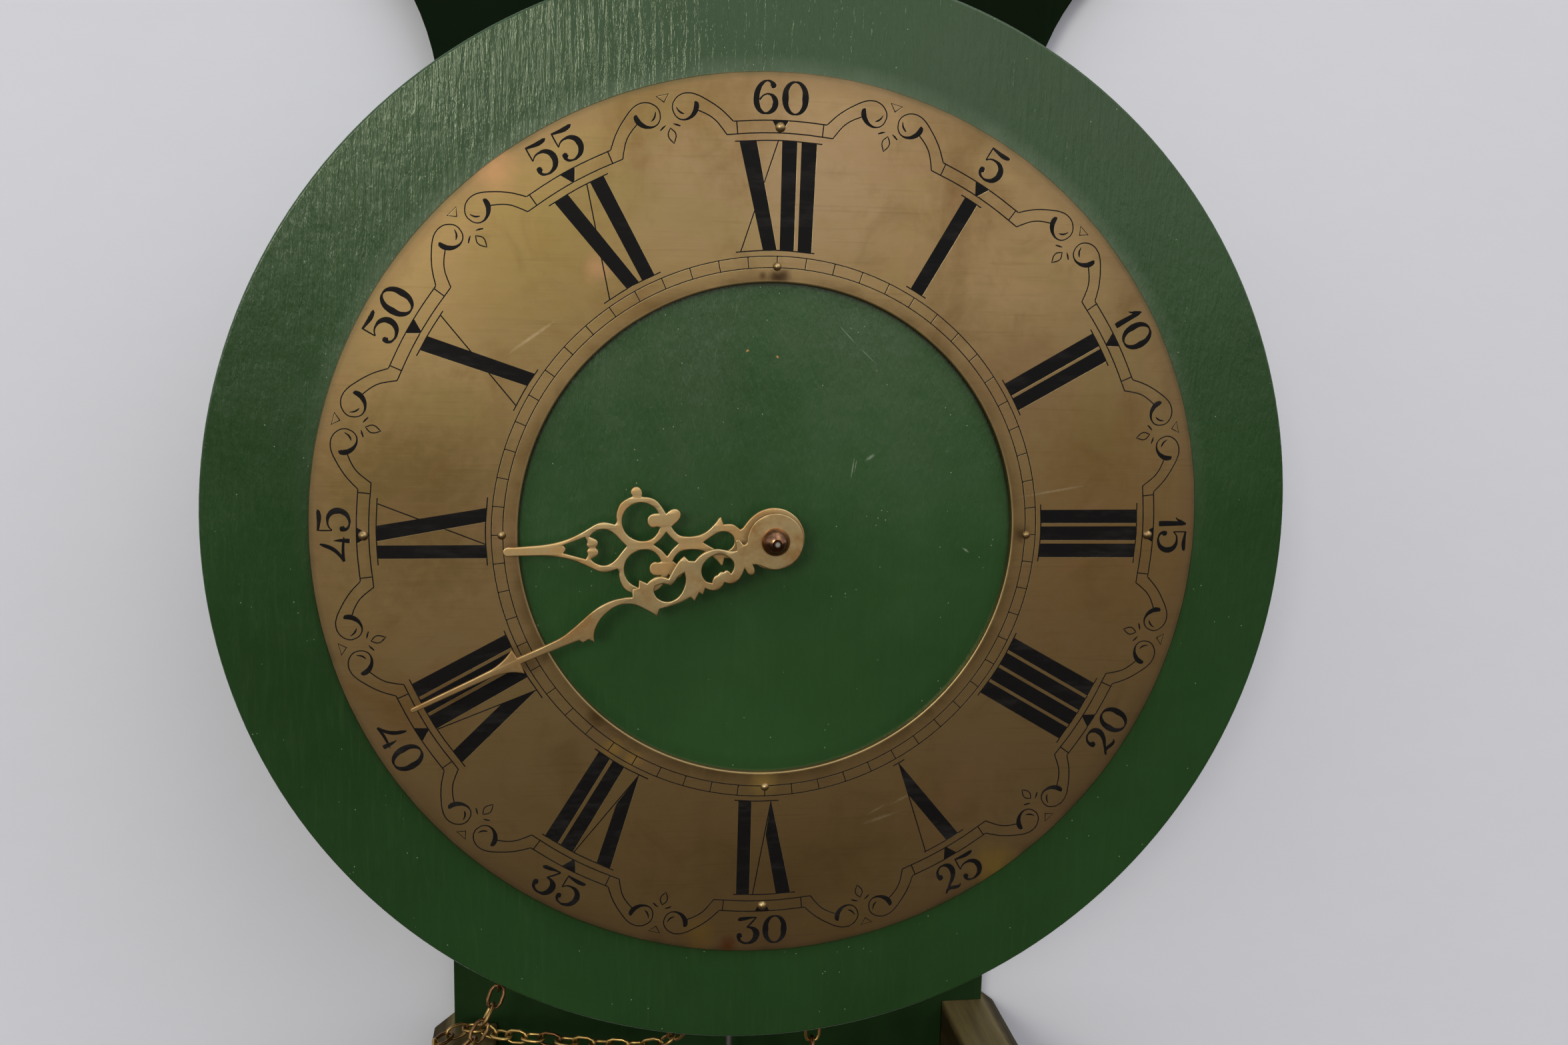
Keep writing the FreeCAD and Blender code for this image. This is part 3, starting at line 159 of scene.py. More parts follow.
# Border of the ring, drawn about each hour line and mirrored in it: (u, v, half the line's width)
LINE = 0.20
ARCH_OUTER = [(15.2, 134.1, LINE), (17.9, 136.6, LINE), (20.0, 138.2, LINE), (24.2, 140.6, LINE),
              (27.3, 141.9, LINE), (29.6, 142.2, LINE), (32.0, 141.6, LINE), (33.8, 140.0, LINE),
              (34.6, 137.9, LINE), (34.2, 136.1, LINE), (33.0, 134.5, LINE), (31.2, 133.9, 0.24),
              (29.2, 134.5, 0.45), (27.7, 136.0, 0.75), (27.0, 137.8, 0.88), (27.1, 139.1, 0.75),
              (27.5, 139.7, 0.25)]
ARCH_INNER = [(17.1, 129.8, LINE), (19.0, 132.2, LINE), (21.0, 134.3, LINE), (23.6, 135.9, LINE),
              (26.4, 137.0, LINE)]
SCROLL_COMMA = [(33.4, 137.7, 0.12), (32.6, 136.6, 0.28), (31.7, 136.0, 0.3), (30.8, 135.7, 0.12)]
BAND_OUTER, BAND_OUTER_SPAN = 134.9, 6.45
BAND_INNER, BAND_INNER_SPAN = 131.0, 7.5
BAND_TICK = 6.0
POINTER_HALF, POINTER_TIP = 2.7, 0.35
SMALL_TRIANGLE = [(-1.95, 146.1, 0.25), (1.95, 146.1, 0.25), (0.0, 143.9, 0.25)]
LEAF = [(0.0, 135.8, LINE), (1.25, 133.7, LINE), (0.0, 130.9, LINE), (-1.25, 133.7, LINE)]
LEAF_DASH = [(1.2, 136.9, 0.12), (2.2, 136.4, 0.3), (3.3, 135.7, 0.2)]
TRACK_OUTER, TRACK_INNER, TRACK_LINE = 92.2, 88.5, 0.165

CUT_HIGHLIGHT_SHIFT = 0.11              # shift to the lower right of the painted highlight, a bright brass copy of each cut's wax
STROKE_FULL = 0.9            # half width at which a round stroke stands as high as the wax
STROKE_SINK = 0.4            # height of the strokes' middle over the ring, as a share of the wax's height
HIGHLIGHT_SINK = 0.5              # how far the painted highlight lies behind the wax, as the same share

# Camera in metres, degrees and millimetres of lens. Lamps by name, place, size, power in watts and colour.
CAMERA_PLACE = (-0.0634, -0.5896, 0.0860)
CAMERA_TURN = (80.0837, -1.4232, -8.0859)
CAMERA_LENS, CAMERA_SENSOR = 32.414, 36.0
LAMPS = (
    ("key_light", (1.0, -1.5, 1.7), (1.8, 1.5), 10.0, (1.0, 1.0, 1.0)),
    ("window_light", (-1.16, -2.8, 0.80), (0.7, 0.7), 26.0, (1.0, 0.97, 0.82)),
    ("rear_light", (0.3, 2.2, 0.6), (2.4, 1.6), 26.0, (1.0, 1.0, 1.0)),
)
LAMP_AIM = (0.0, -0.05, -0.05)
SHEET_HALF = 3.0             # half the width of the backdrop and the floor
BACKDROP_GAP, BACKDROP_HEIGHT = 0.6 * MM, 0.6
FLOOR_DROP = 0.10            # space under the clock

# Light of the studio by height, from 0 straight down to 1 straight up, its share from left to right in the
# same way, and what a camera sees
SKY_HEIGHTS = ((0.29, (0.070, 0.052, 0.034)), (0.42, (0.100, 0.078, 0.056)), (0.470, (0.26, 0.23, 0.195)),
               (0.525, (1.14, 1.14, 1.16)), (0.75, (1.02, 1.04, 1.09)))
SKY_ACROSS = ((0.38, 0.9), (0.455, 0.6), (0.53, 0.95), (0.57, 1.2), (0.64, 1.3), (0.70, 1.05), (0.76, 0.68))
SKY_SEEN = (0.62, 0.62, 0.64)

# Marks on the dial in millimetres from its centre, most of use and some of painted light: patches with a radius,
# streaks with half a width.
# A patch has its shade, and a region of the ring also the share that it lays over the brass.
RAGGED, SOFT_START, SOFT_END = 0.9, 0.6, 1.4    # unevenness and soft edge of a mark, as shares of its size
RING_REGIONS = (
    ((-78.0, 98.0, 46.0), (0.290, 0.205, 0.066), 0.65), ((12.0, 118.0, 44.0), (0.41, 0.280, 0.160), 0.65),
    ((80.0, 88.0, 42.0), (0.45, 0.300, 0.145), 0.60), ((122.0, -8.0, 60.0), (0.285, 0.162, 0.054), 0.6),
    ((-118.0, 14.0, 46.0), (0.170, 0.112, 0.040), 0.75), ((0.0, -120.0, 75.0), (0.275, 0.172, 0.068), 0.5),
    ((-62.0, -102.0, 34.0), (0.290, 0.195, 0.070), 0.5), ((-32.0, 112.0, 26.0), (0.36, 0.245, 0.138), 0.65),
    ((84.0, 52.0, 24.0), (0.30, 0.170, 0.085), 0.45), ((60.0, -96.0, 24.0), (0.31, 0.185, 0.075), 0.5),
    ((112.0, 30.0, 26.0), (0.26, 0.148, 0.045), 0.55),
)
# Stains of the ring, with painted light among them: (-58, -62) is a painted shadow along the lip at half past
# seven and (87.2, 0.2) a painted shadow left of the right pin; (-52.5, -73.5) and (-45.5, -78) are painted glints
# in the minute track; the dark patches at x -4.6 to 2.2, z 85 to 86 lie just below the top pin
RING_STAINS_GLINTS_AND_SHADOWS = (
    ((-12.0, -147.5, 4.5), (0.20, 0.055, 0.012)), ((-0.8, 85.9, 3.0), (0.045, 0.024, 0.012)),
    ((-58.0, -62.0, 5.0), (0.10, 0.055, 0.016)), ((-0.5, -87.5, 6.0), (0.50, 0.33, 0.09)),
    ((84.0, -121.0, 11.0), (0.45, 0.30, 0.065)), ((-22.0, -143.0, 8.0), (0.40, 0.25, 0.065)),
    ((-90.0, 116.0, 9.0), (0.46, 0.25, 0.12)), ((-52.5, -73.5, 4.5), (0.55, 0.34, 0.08)),
    ((-45.5, -78.0, 4.0), (0.52, 0.32, 0.08)), ((-58.0, 87.0, 6.0), (0.47, 0.26, 0.13)),
    ((2.2, 86.2, 3.2), (0.045, 0.024, 0.012)), ((0.8, 85.3, 2.8), (0.045, 0.024, 0.012)),
    ((-4.6, 85.9, 1.8), (0.06, 0.030, 0.014)), ((87.2, 0.2, 4.2), (0.055, 0.032, 0.014)),
)
RING_STREAKS = (
    ((84.0, 12.8), (112.0, 17.8), 0.55), ((33.9, -104.0), (49.6, -98.8), 0.8),
    ((36.0, -100.5), (44.0, -96.0), 0.5), ((44.0, -97.0), (54.0, -92.0), 0.6),
    ((-88.0, 58.0), (-70.0, 71.0), 0.7), ((-7.0, -88.5), (5.0, -88.3), 0.55),
)
PAINT_SCUFFS = (
    ((28.2, 26.6), (27.1, 18.9), 0.35), ((29.0, 25.8), (28.2, 21.0), 0.22),
    ((31.7, 25.0), (35.3, 27.5), 0.75), ((21.1, 70.6), (28.0, 63.6), 0.22),
    ((28.0, 63.6), (35.1, 57.2), 0.14), ((66.8, -4.8), (69.6, -6.6), 0.5),
)
PAINT_CHIPS = (((-9.5, 61.0), (-8.3, 61.8), 0.45), ((0.7, 60.0), (1.6, 59.0), 0.45))

STAIN_GLINT_AND_SHADOW_SHARE = 0.7
RING_STREAK, RING_STREAK_SHARE = (0.60, 0.47, 0.30), 0.40
SCUFF_PALE, SCUFF_SHARE = (0.30, 0.36, 0.27), 0.55
CHIP_WOOD, CHIP_SHARE = (0.62, 0.30, 0.085), 0.9

# Other shades of the paint, the ring and the weight
# Painted highlight: lighter green laid on the crests of the brush ridges
RIDGE_HIGHLIGHT_GREEN = (0.036, 0.082, 0.024)
# Painted sheen over the upper part of the dial's centre
CENTRE_SHEEN_GREEN = (0.050, 0.086, 0.042)
# Haze along the ring's outer edge in the upper half: dust and painted sheen
HAZE_AND_SHEEN_GREEN = (0.20, 0.25, 0.17)
SPECK_PALE = (0.40, 0.44, 0.34)
# Painted shadow in the corner under the ring's inner edge
RING_EDGE_SHADOW = (0.008, 0.009, 0.005)
RING_ROSE = (0.37, 0.215, 0.120)
RING_OLIVE = (0.285, 0.215, 0.080)
RING_RIM_BROWN = (0.205, 0.122, 0.066)
RING_PAINT_OVERLAP = (0.085, 0.090, 0.045)
# Painted highlight on the ring's inner lip
RING_LIP_HIGHLIGHT = (0.50, 0.37, 0.18)
WAX_CRACKS = (0.022, 0.020, 0.018)
IRON_RUST = (0.115, 0.055, 0.028)

# Worn metals: name, bright and dull colour with their shares, roughness, other settings
WORN_METALS = {
    "hour_hand": ("hour_hand_brass", ("hand_brass", 1.0), ("hand_brown", 1.4), 0.40, {"cloud": 90.0}),
    "minute_hand": ("minute_hand_brass", ("hand_brass", 0.92), ("hand_brown", 1.0), 0.40,
                    {"cloud": 110.0, "outer": (("hand_brown", 1.0), 40.0, 125.0, 0.6)}),
    # cut: bright brass of the painted highlights, copies of the wax shifted to the lower right of each cut
    "cut": ("cut_brass_edge", ("hand_brass", 1.15), ("hand_brass", 0.7), 0.30, {"cloud": 400.0}),
    "pin": ("pin_brass", ("hand_brass", 0.75), ("ring_tarnish", 0.9), 0.40, {"cloud": 600.0}),
    "nut": ("nut_copper", ("nut_copper", 1.0), ("nut_copper", 0.38), 0.20, {"cloud": 320.0}),
    "movement": ("movement_brass", ("movement_brass", 1.0), ("movement_brass", 0.7), 0.34, {}),
    "bob": ("bob_brass", ("movement_brass", 1.1), ("movement_brass", 0.75), 0.24, {}),
    "stud": ("stud_steel", ("steel", 2.3), ("steel", 1.6), 0.26,
             {"cloud": 900.0, "outer": (("nut_copper", 0.3), 0.55, 0.95, 1.0)}),
    "steel": ("dull_steel", ("steel", 1.0), ("steel", 0.6), 0.40, {"stretch": (1, 0.1, 1)}),
}

# Turned pieces: profiles as shares of a size, or in millimetres
PIN_PLACES = ((132.8, 1.7), (88.9, 1.45))       # distance from the dial's centre, radius of the pin
PIN_DOME = ((0.0, -0.75), (0.38, -0.68), (0.72, -0.48), (0.94, -0.2))
PIN_FOOT = 0.1
DIAL_BORE = 7.0
RIM_ROUND = ((1.0, 0.0), (0.62, 0.08), (0.29, 0.29), (0.08, 0.62), (0.0, 1.0))
RING_BORE, RING_LIP, RING_RIM = 83.6, 0.8, 0.3
NUT_BORE, NUT_BACK_EDGE = 1.25, 0.2
NUT_FRONT = ((1.25, 0.15), (1.5, 0.0), (2.1, 0.2), (3.0, 0.9), (3.8, 1.9))  # radius, depth behind the front
NUT_RIM = ((0.25, 3.0), (0.0, 3.5))             # distance in from the rim, depth behind the front
WEIGHT_NECK = 5.0
WEIGHT_ROUND = ((0.0, 1.0), (0.38, 0.924), (0.707, 0.707), (0.924, 0.38), (1.0, 0.0))
BOB_LENS = ((0.0, 1.0), (0.34, 0.93), (0.62, 0.74), (0.86, 0.44), (0.965, 0.22), (1.0, 0.10))
PIN_STEPS, NUT_STEPS, WEIGHT_STEPS, BOB_STEPS, EYE_STEPS, SHANK_STEPS = 14, 48, 64, 72, 28, 16
PILLAR_NUT_RADIUS, PILLAR_NUT_HEIGHT, PILLAR_NUT_EDGE = 3.6 * MM, 2.4 * MM, 0.3 * MM

# Chain: half a link's straight run and the radius of its bend; how near a link of the weight fall is to the
# fall's line, and how far under the sprocket's axis; evenness of the links' tones
LINK_HALF_STRAIGHT, LINK_BEND = 2.0 * MM, 2.75 * MM
FALL_NEAR, FALL_START = 0.5 * MM, 2 * MM
TONE_CURVE = 0.8

# Hands in (along, across); a point with True is a corner. The hour hand is half of a mirrored outline.
HUB_STEPS = 12               # points round a hub or a bore
HOUR_HUB, HOUR_BORE = 10.4, 4.52
HOUR_HALF = [
    (10.2, 4.1, True), (11.0, 3.7, True), (11.9, 4.5), (13.1, 5.4), (14.6, 5.75), (16.5, 5.7, True),
    (17.2, 8.2, True), (17.8, 7.95), (18.7, 6.8), (19.9, 5.5), (21.7, 3.9), (23.9, 2.75), (26.4, 2.25),
    (28.9, 2.25), (31.0, 2.75), (32.4, 3.9), (33.6, 5.7, True), (32.6, 6.6), (31.3, 7.7), (30.4, 9.6),
    (31.2, 11.2), (32.8, 11.6), (34.3, 10.9), (35.2, 10.2, True), (35.8, 11.3), (36.7, 12.8), (38.2, 14.6),
    (40.3, 15.7), (42.8, 16.1, True), (42.7, 17.4), (43.3, 18.9), (44.6, 19.5), (45.9, 18.9), (46.4, 17.5),
    (45.9, 16.4, True), (47.6, 15.7), (49.6, 14.4), (50.8, 12.4), (51.4, 9.9), (51.4, 8.2),
    (52.0, 7.4, True), (53.9, 8.0), (56.0, 8.3), (57.8, 7.9), (60.3, 6.6), (63.1, 5.1), (66.0, 3.8),
    (69.0, 2.85), (72.0, 2.2), (76.0, 1.75), (80.3, 1.6), (84.6, 1.45), (87.4, 1.4), (88.2, 0.6, True),
]
HOUR_DROP = [(13.1, 0.0), (13.5, 1.6), (14.6, 2.7), (16.7, 3.3), (18.6, 2.9), (21.0, 1.6), (23.4, 0.0, True)]
HOUR_DIAMOND = [(31.6, 0.0, True), (33.6, 1.8), (35.4, 4.0, True), (37.4, 1.7), (39.6, 0.0, True)]
HOUR_PEAR = [(48.5, 0.0, True), (50.3, 2.0), (52.1, 4.1), (53.9, 5.45), (56.0, 6.0), (58.1, 5.5), (59.7, 4.4),
             (60.2, 3.7, True), (59.0, 3.1), (57.9, 2.3), (57.7, 1.2), (58.5, 0.0, True)]
HOUR_WEDGE = [(60.7, 0.0, True), (61.4, 0.9), (61.2, 2.2), (61.9, 3.6, True), (69.0, 1.3, True), (68.4, 0.6),
              (68.2, 0.0)]
HOUR_LOOP = [(37.4, 5.6, True), (38.5, 3.6), (40.3, 2.0), (43.1, 1.45), (46.0, 2.2), (48.1, 3.8),
             (49.3, 6.0), (49.6, 8.4), (48.9, 10.9), (47.1, 13.0), (44.6, 14.1), (42.4, 14.1), (39.9, 13.1),
             (38.5, 11.8), (37.7, 10.4, True), (39.2, 10.4), (40.7, 9.7), (41.4, 8.1), (40.9, 6.5),
             (39.6, 5.7), (38.4, 5.9)]

MINUTE_HUB, MINUTE_BORE = 9.4, 2.82
MINUTE_OUTLINE = [
    (7.6, -5.4, True), (8.8, -4.4), (9.9, -3.8, True), (10.4, -6.4), (11.4, -6.9), (12.4, -6.3),
    (12.9, -3.9, True), (14.6, -5.4), (16.8, -6.6), (19.0, -6.5), (20.8, -5.2, True), (22.2, -6.2),
    (23.8, -6.5), (25.8, -5.8), (27.3, -4.3, True), (28.9, -5.9, True), (29.7, -4.7, True),
    (32.3, -6.7, True), (32.9, -4.9, True), (35.4, -5.1), (38.0, -5.0), (41.0, -4.6), (43.6, -4.1, True),
    (45.4, -6.0, True), (46.4, -4.3), (47.9, -2.2), (49.6, 0.0), (52.0, 1.8), (55.8, 2.8), (59.0, 2.4),
    (61.6, 1.5), (64.0, 0.0), (66.0, -2.0), (66.9, -3.6), (67.4, -5.0, True), (68.8, -3.3, True),
    (70.8, -3.5, True), (71.6, -2.3, True), (75.0, -2.0), (80.0, -1.75), (86.0, -1.4), (91.7, -1.1, True),
    (92.2, -4.6, True), (94.0, -3.3), (96.6, -2.1), (100.0, -1.4), (104.0, -1.15), (116.0, -0.95),
    (129.6, -0.8, True), (130.2, 0.0), (129.6, 0.8, True), (116.0, 0.95), (104.0, 1.15), (100.0, 1.4),
    (96.8, 2.2), (94.2, 3.3), (92.3, 4.4, True), (92.0, 1.2, True), (86.0, 1.0), (80.0, 1.0), (76.0, 1.2),
    (72.0, 2.1), (68.0, 3.3), (64.0, 4.5), (60.0, 5.2), (56.0, 5.1), (52.6, 4.3), (50.0, 3.3, True),
    (48.9, 5.8, True), (46.8, 5.4, True), (45.6, 7.6, True), (43.8, 5.4, True), (42.2, 6.0), (40.2, 6.0),
    (38.4, 5.2), (36.8, 3.8, True), (33.2, 6.5), (31.0, 7.8), (29.1, 8.4, True), (28.4, 6.4, True),
    (26.7, 5.5, True), (24.4, 6.4), (21.4, 6.7), (18.4, 6.0), (16.0, 4.4), (14.4, 3.3), (12.9, 2.8, True),
    (12.3, 4.6), (11.9, 6.0, True), (10.5, 5.9, True), (10.1, 3.7, True), (9.2, 3.4), (7.6, 5.4, True),
]
MINUTE_C = [(15.4, -0.3), (16.0, 1.6), (17.2, 3.2), (18.8, 4.2), (20.8, 4.5), (23.2, 4.0), (25.3, 2.6),
            (26.4, 0.4), (26.4, -1.2), (26.0, -2.4), (24.6, -3.6, True), (23.8, -2.6), (22.9, -2.0),
            (21.7, -1.9, True), (20.6, -1.5), (19.6, -1.9), (18.8, -1.7, True), (18.1, -2.2),
            (17.6, -3.4, True), (16.2, -2.3)]
MINUTE_BEAN = [(31.3, 3.5, True), (32.0, 1.0), (33.8, -1.4), (36.0, -2.9), (38.2, -3.4), (40.6, -2.9),
               (42.2, -1.5), (43.0, 0.4), (42.8, 2.2), (41.8, 3.5, True), (39.6, 3.3), (38.2, 2.5),
               (37.2, 1.5, True), (35.6, 2.0), (34.0, 2.9)]


def size_property(name, description, millimetres):
    return FloatProperty(name=name, description=description, default=millimetres * MM, min=0.0, unit="LENGTH",
                         precision=5)


class ClockSizes(bpy.types.PropertyGroup):
    wax_height: size_property("Wax height", "How far the wax stands out of the ring", 0.04)
    board_edge: size_property("Board edge", "Rounding of the boards' edges", 1.0)
    dial_edge: size_property("Dial edge", "Rounding of the painted dial's rim", 0.9)
    metal_edge: size_property("Metal edge", "Rounding of filed metal edges", 0.3)
    hand_edge: size_property("Hand edge", "Rounding of the hands' edges", 0.34)
    link_wire: size_property("Link wire", "Thickness of the chain's wire", 1.5)
    weight_shoulder: size_property("Weight shoulder", "Rounding of the weight's ends", 7.0)
    round_steps: IntProperty(name="Round steps", description="Facets round the dial and the ring",
                             default=192, min=24)
    tone_seed: IntProperty(name="Tone seed", description="Draw of the links' shades", default=7)


def paint_property(name, description, colour):
    return FloatVectorProperty(name=name, description=description, default=colour, size=3, min=0.0, max=1.0,
                               subtype="COLOR")


class ClockColours(bpy.types.PropertyGroup):
    dial_green: paint_property("Dial green", "Gloss paint of the dial", (0.0140, 0.0465, 0.0122))
    board_green: paint_property("Board green", "Blackened paint of the boards", (0.0100, 0.0255, 0.0074))
    bare_wood: paint_property("Bare wood", "Worn wood on top of the cheeks", (0.125, 0.094, 0.038))
    plain_wood: paint_property("Plain wood", "Unpainted wood inside the case", (0.24, 0.145, 0.075))
    ring_brass: paint_property("Ring brass", "Tarnished brass of the chapter ring", (0.305, 0.206, 0.090))
    ring_tarnish: paint_property("Ring tarnish", "Brown stains of the chapter ring", (0.215, 0.128, 0.049))
    wax_black: paint_property("Wax black", "Wax in the engraving", (0.0055, 0.005, 0.005))
    hand_brass: paint_property("Hand brass", "Brass of the hands", (0.60, 0.445, 0.22))
    hand_brown: paint_property("Hand brown", "Brown wear of the hands", (0.36, 0.215, 0.085))
    nut_copper: paint_property("Nut copper", "Copper colour of the hand nut", (0.33, 0.170, 0.095))
    chain_gold: paint_property("Chain gold", "Bright links", (0.60, 0.40, 0.13))
    chain_brown: paint_property("Chain brown", "Dull links", (0.17, 0.085, 0.035))
    movement_brass: paint_property("Movement brass", "Wheels and plates", (0.58, 0.42, 0.19))
    steel: paint_property("Steel", "Arbors, rod and hook", (0.34, 0.335, 0.33))
    iron: paint_property("Iron", "Driving weight", (0.060, 0.058, 0.055))
    wall_white: paint_property("Wall white", "Backdrop", (0.74, 0.745, 0.81))
    floor_white: paint_property("Floor white", "Floor", (0.62, 0.62, 0.63))


class Nodes:
    """Short calls for the nodes of one tree."""

    def __init__(self, tree, coords):
        self.tree = tree
        self.coords = self.add("TexCoord").outputs[coords]

    def add(self, kind, **settings):
        node = self.tree.nodes.new("ShaderNode" + kind)
        for key, value in settings.items():
            setattr(node, key, value)
        return node

    def feed(self, socket, value):
        if isinstance(value, bpy.types.NodeSocket):
            self.tree.links.new(value, socket)
        elif socket.type == "RGBA":
            socket.default_value = (*value, 1.0)
        else:
            socket.default_value = value

    def calc(self, operation, first, second=0.0, third=0.0, clamp=False):
        node = self.add("Math", operation=operation, use_clamp=clamp)
        for index, value in enumerate((first, second, third)):
            self.feed(node.inputs[index], value)
        return node.outputs[0]

    def times(self, first, *others):
        for other in others:
            first = self.calc("MULTIPLY", first, other)
        return first

    def along(self, axis):
        split = self.add("SeparateXYZ")
        self.feed(split.inputs[0], self.coords)
        return split.outputs[axis]

    def ramp(self, value, *stops):
        node = self.add("ValToRGB")
        elements = node.color_ramp.elements
        elements.remove(elements[1])
        for index, (position, colour) in enumerate(stops):
            element = elements[0] if index == 0 else elements.new(position)
            element.position = position
            shade = tuple(colour) if hasattr(colour, "__len__") else (colour,) * 3
            element.color = (*shade, 1.0)
        self.feed(node.inputs["Fac"], value)
        return node.outputs["Color"]

    def tones(self, value, colour, *stops):
        """Ramp of one colour's shares."""
        return self.ramp(value, *((position, shaded(colour, share)) for position, share in stops))

    def level(self, value, low, high, first=0.0, last=1.0):
        node = self.add("MapRange", clamp=True)
        for index, part in enumerate((value, low, high, first, last)):
            self.feed(node.inputs[index], part)
        return node.outputs[0]

    def blend(self, factor, first, second, mode="MIX"):
        node = self.add("Mix", data_type="RGBA", blend_type=mode)
        self.feed(node.inputs[0], factor)
        self.feed(node.inputs[6], first)
        self.feed(node.inputs[7], second)
        return node.outputs[2]

    def lay(self, shade, base, *shares):
        """Shade over a base, by the product of its shares."""
        return self.blend(self.times(*shares), base, shade)


class Finish(Nodes):
    """Node tree of one finish on Object coordinates."""

    def __init__(self, name, metallic=0.0, roughness=0.5, specular=0.5):
        self.material = bpy.data.materials.new(name)
        self.material.use_nodes = True
        super().__init__(self.material.node_tree, "Object")
        self.shader = self.tree.nodes["Principled BSDF"]
        self.set("Metallic", metallic)
        self.set("Roughness", roughness)
        self.set("Specular IOR Level", specular)
        self.normal = None

    def set(self, socket, value):
        self.feed(self.shader.inputs[socket], value)

    def stretched(self, stretch, lean):
        mapping = self.add("Mapping")
        mapping.inputs["Scale"].default_value = stretch
        mapping.inputs["Rotation"].default_value = (0.0, math.radians(lean), 0.0)
        self.feed(mapping.inputs["Vector"], self.coords)
        return mapping.outputs["Vector"]

    def noise(self, scale, stretch=(1, 1, 1), detail=3.0, rough=0.55, warp=0.0, lean=0.0):
        node = self.add("TexNoise")
        self.feed(node.inputs["Vector"], self.stretched(stretch, lean))
        for name, value in (("Scale", scale), ("Detail", detail), ("Roughness", rough), ("Distortion", warp)):
            node.inputs[name].default_value = value
        return node.outputs["Fac"]

    def specks(self, scale, size):
        """Small dots strewn at random: 1 inside a dot, 0 outside."""
        node = self.add("TexVoronoi")
        self.feed(node.inputs["Vector"], self.coords)
        node.inputs["Scale"].default_value = scale
        near = self.calc("LESS_THAN", node.outputs["Distance"], size)
        picked = self.calc("GREATER_THAN", self.noise(scale * 0.31, detail=0.0), 0.58)
        return self.times(near, picked)

    def from_axis(self, x=0.0, z=0.0, size=(1.0, 1.0), lean=0.0):
        """Distance from the line along Y through (x, z): in metres, or in shares of a width and a height."""
        laid = self.add("Mapping", vector_type="TEXTURE")
        laid.inputs["Location"].default_value = (x, 0.0, z)
        laid.inputs["Rotation"].default_value = (0.0, math.radians(lean), 0.0)
        laid.inputs["Scale"].default_value = (size[0], NO_DEPTH, size[1])
        self.feed(laid.inputs["Vector"], self.coords)
        length = self.add("VectorMath", operation="LENGTH")
        self.feed(length.inputs[0], laid.outputs["Vector"])
        return length.outputs["Value"]

    def spot(self, x, z, radius):
        """Soft ragged patch about a point of the dial, in millimetres."""
        ragged = self.times(self.noise(220.0, detail=4.0), radius * RAGGED * MM)
        reach = self.calc("ADD", self.from_axis(x * MM, z * MM), ragged)
        return self.level(reach, radius * SOFT_START * MM, radius * SOFT_END * MM, 1.0, 0.0)

    def streak(self, start, end, half_width):
        """Thin ragged line between two points of the dial, in millimetres."""
        way = Vector(end) - Vector(start)
        middle = 0.5 * MM * (Vector(start) + Vector(end))
        lean = math.degrees(math.atan2(way.x, way.y))
        reach = self.from_axis(middle.x, middle.y, (half_width * MM, 0.5 * MM * way.length), lean)
        ragged = self.times(self.noise(900.0, detail=3.0), RAGGED)
        return self.level(self.calc("ADD", reach, ragged), SOFT_START, SOFT_END, 1.0, 0.0)

    def relief(self, height, strength, depth):
        node = self.add("Bump")
        node.inputs["Strength"].default_value = strength
        node.inputs["Distance"].default_value = depth
        self.feed(node.inputs["Height"], height)
        if self.normal is not None:
            self.feed(node.inputs["Normal"], self.normal)
        self.normal = node.outputs["Normal"]
        self.set("Normal", self.normal)


def shaded(colour, share):
    return tuple(min(1.0, part * share) for part in colour)


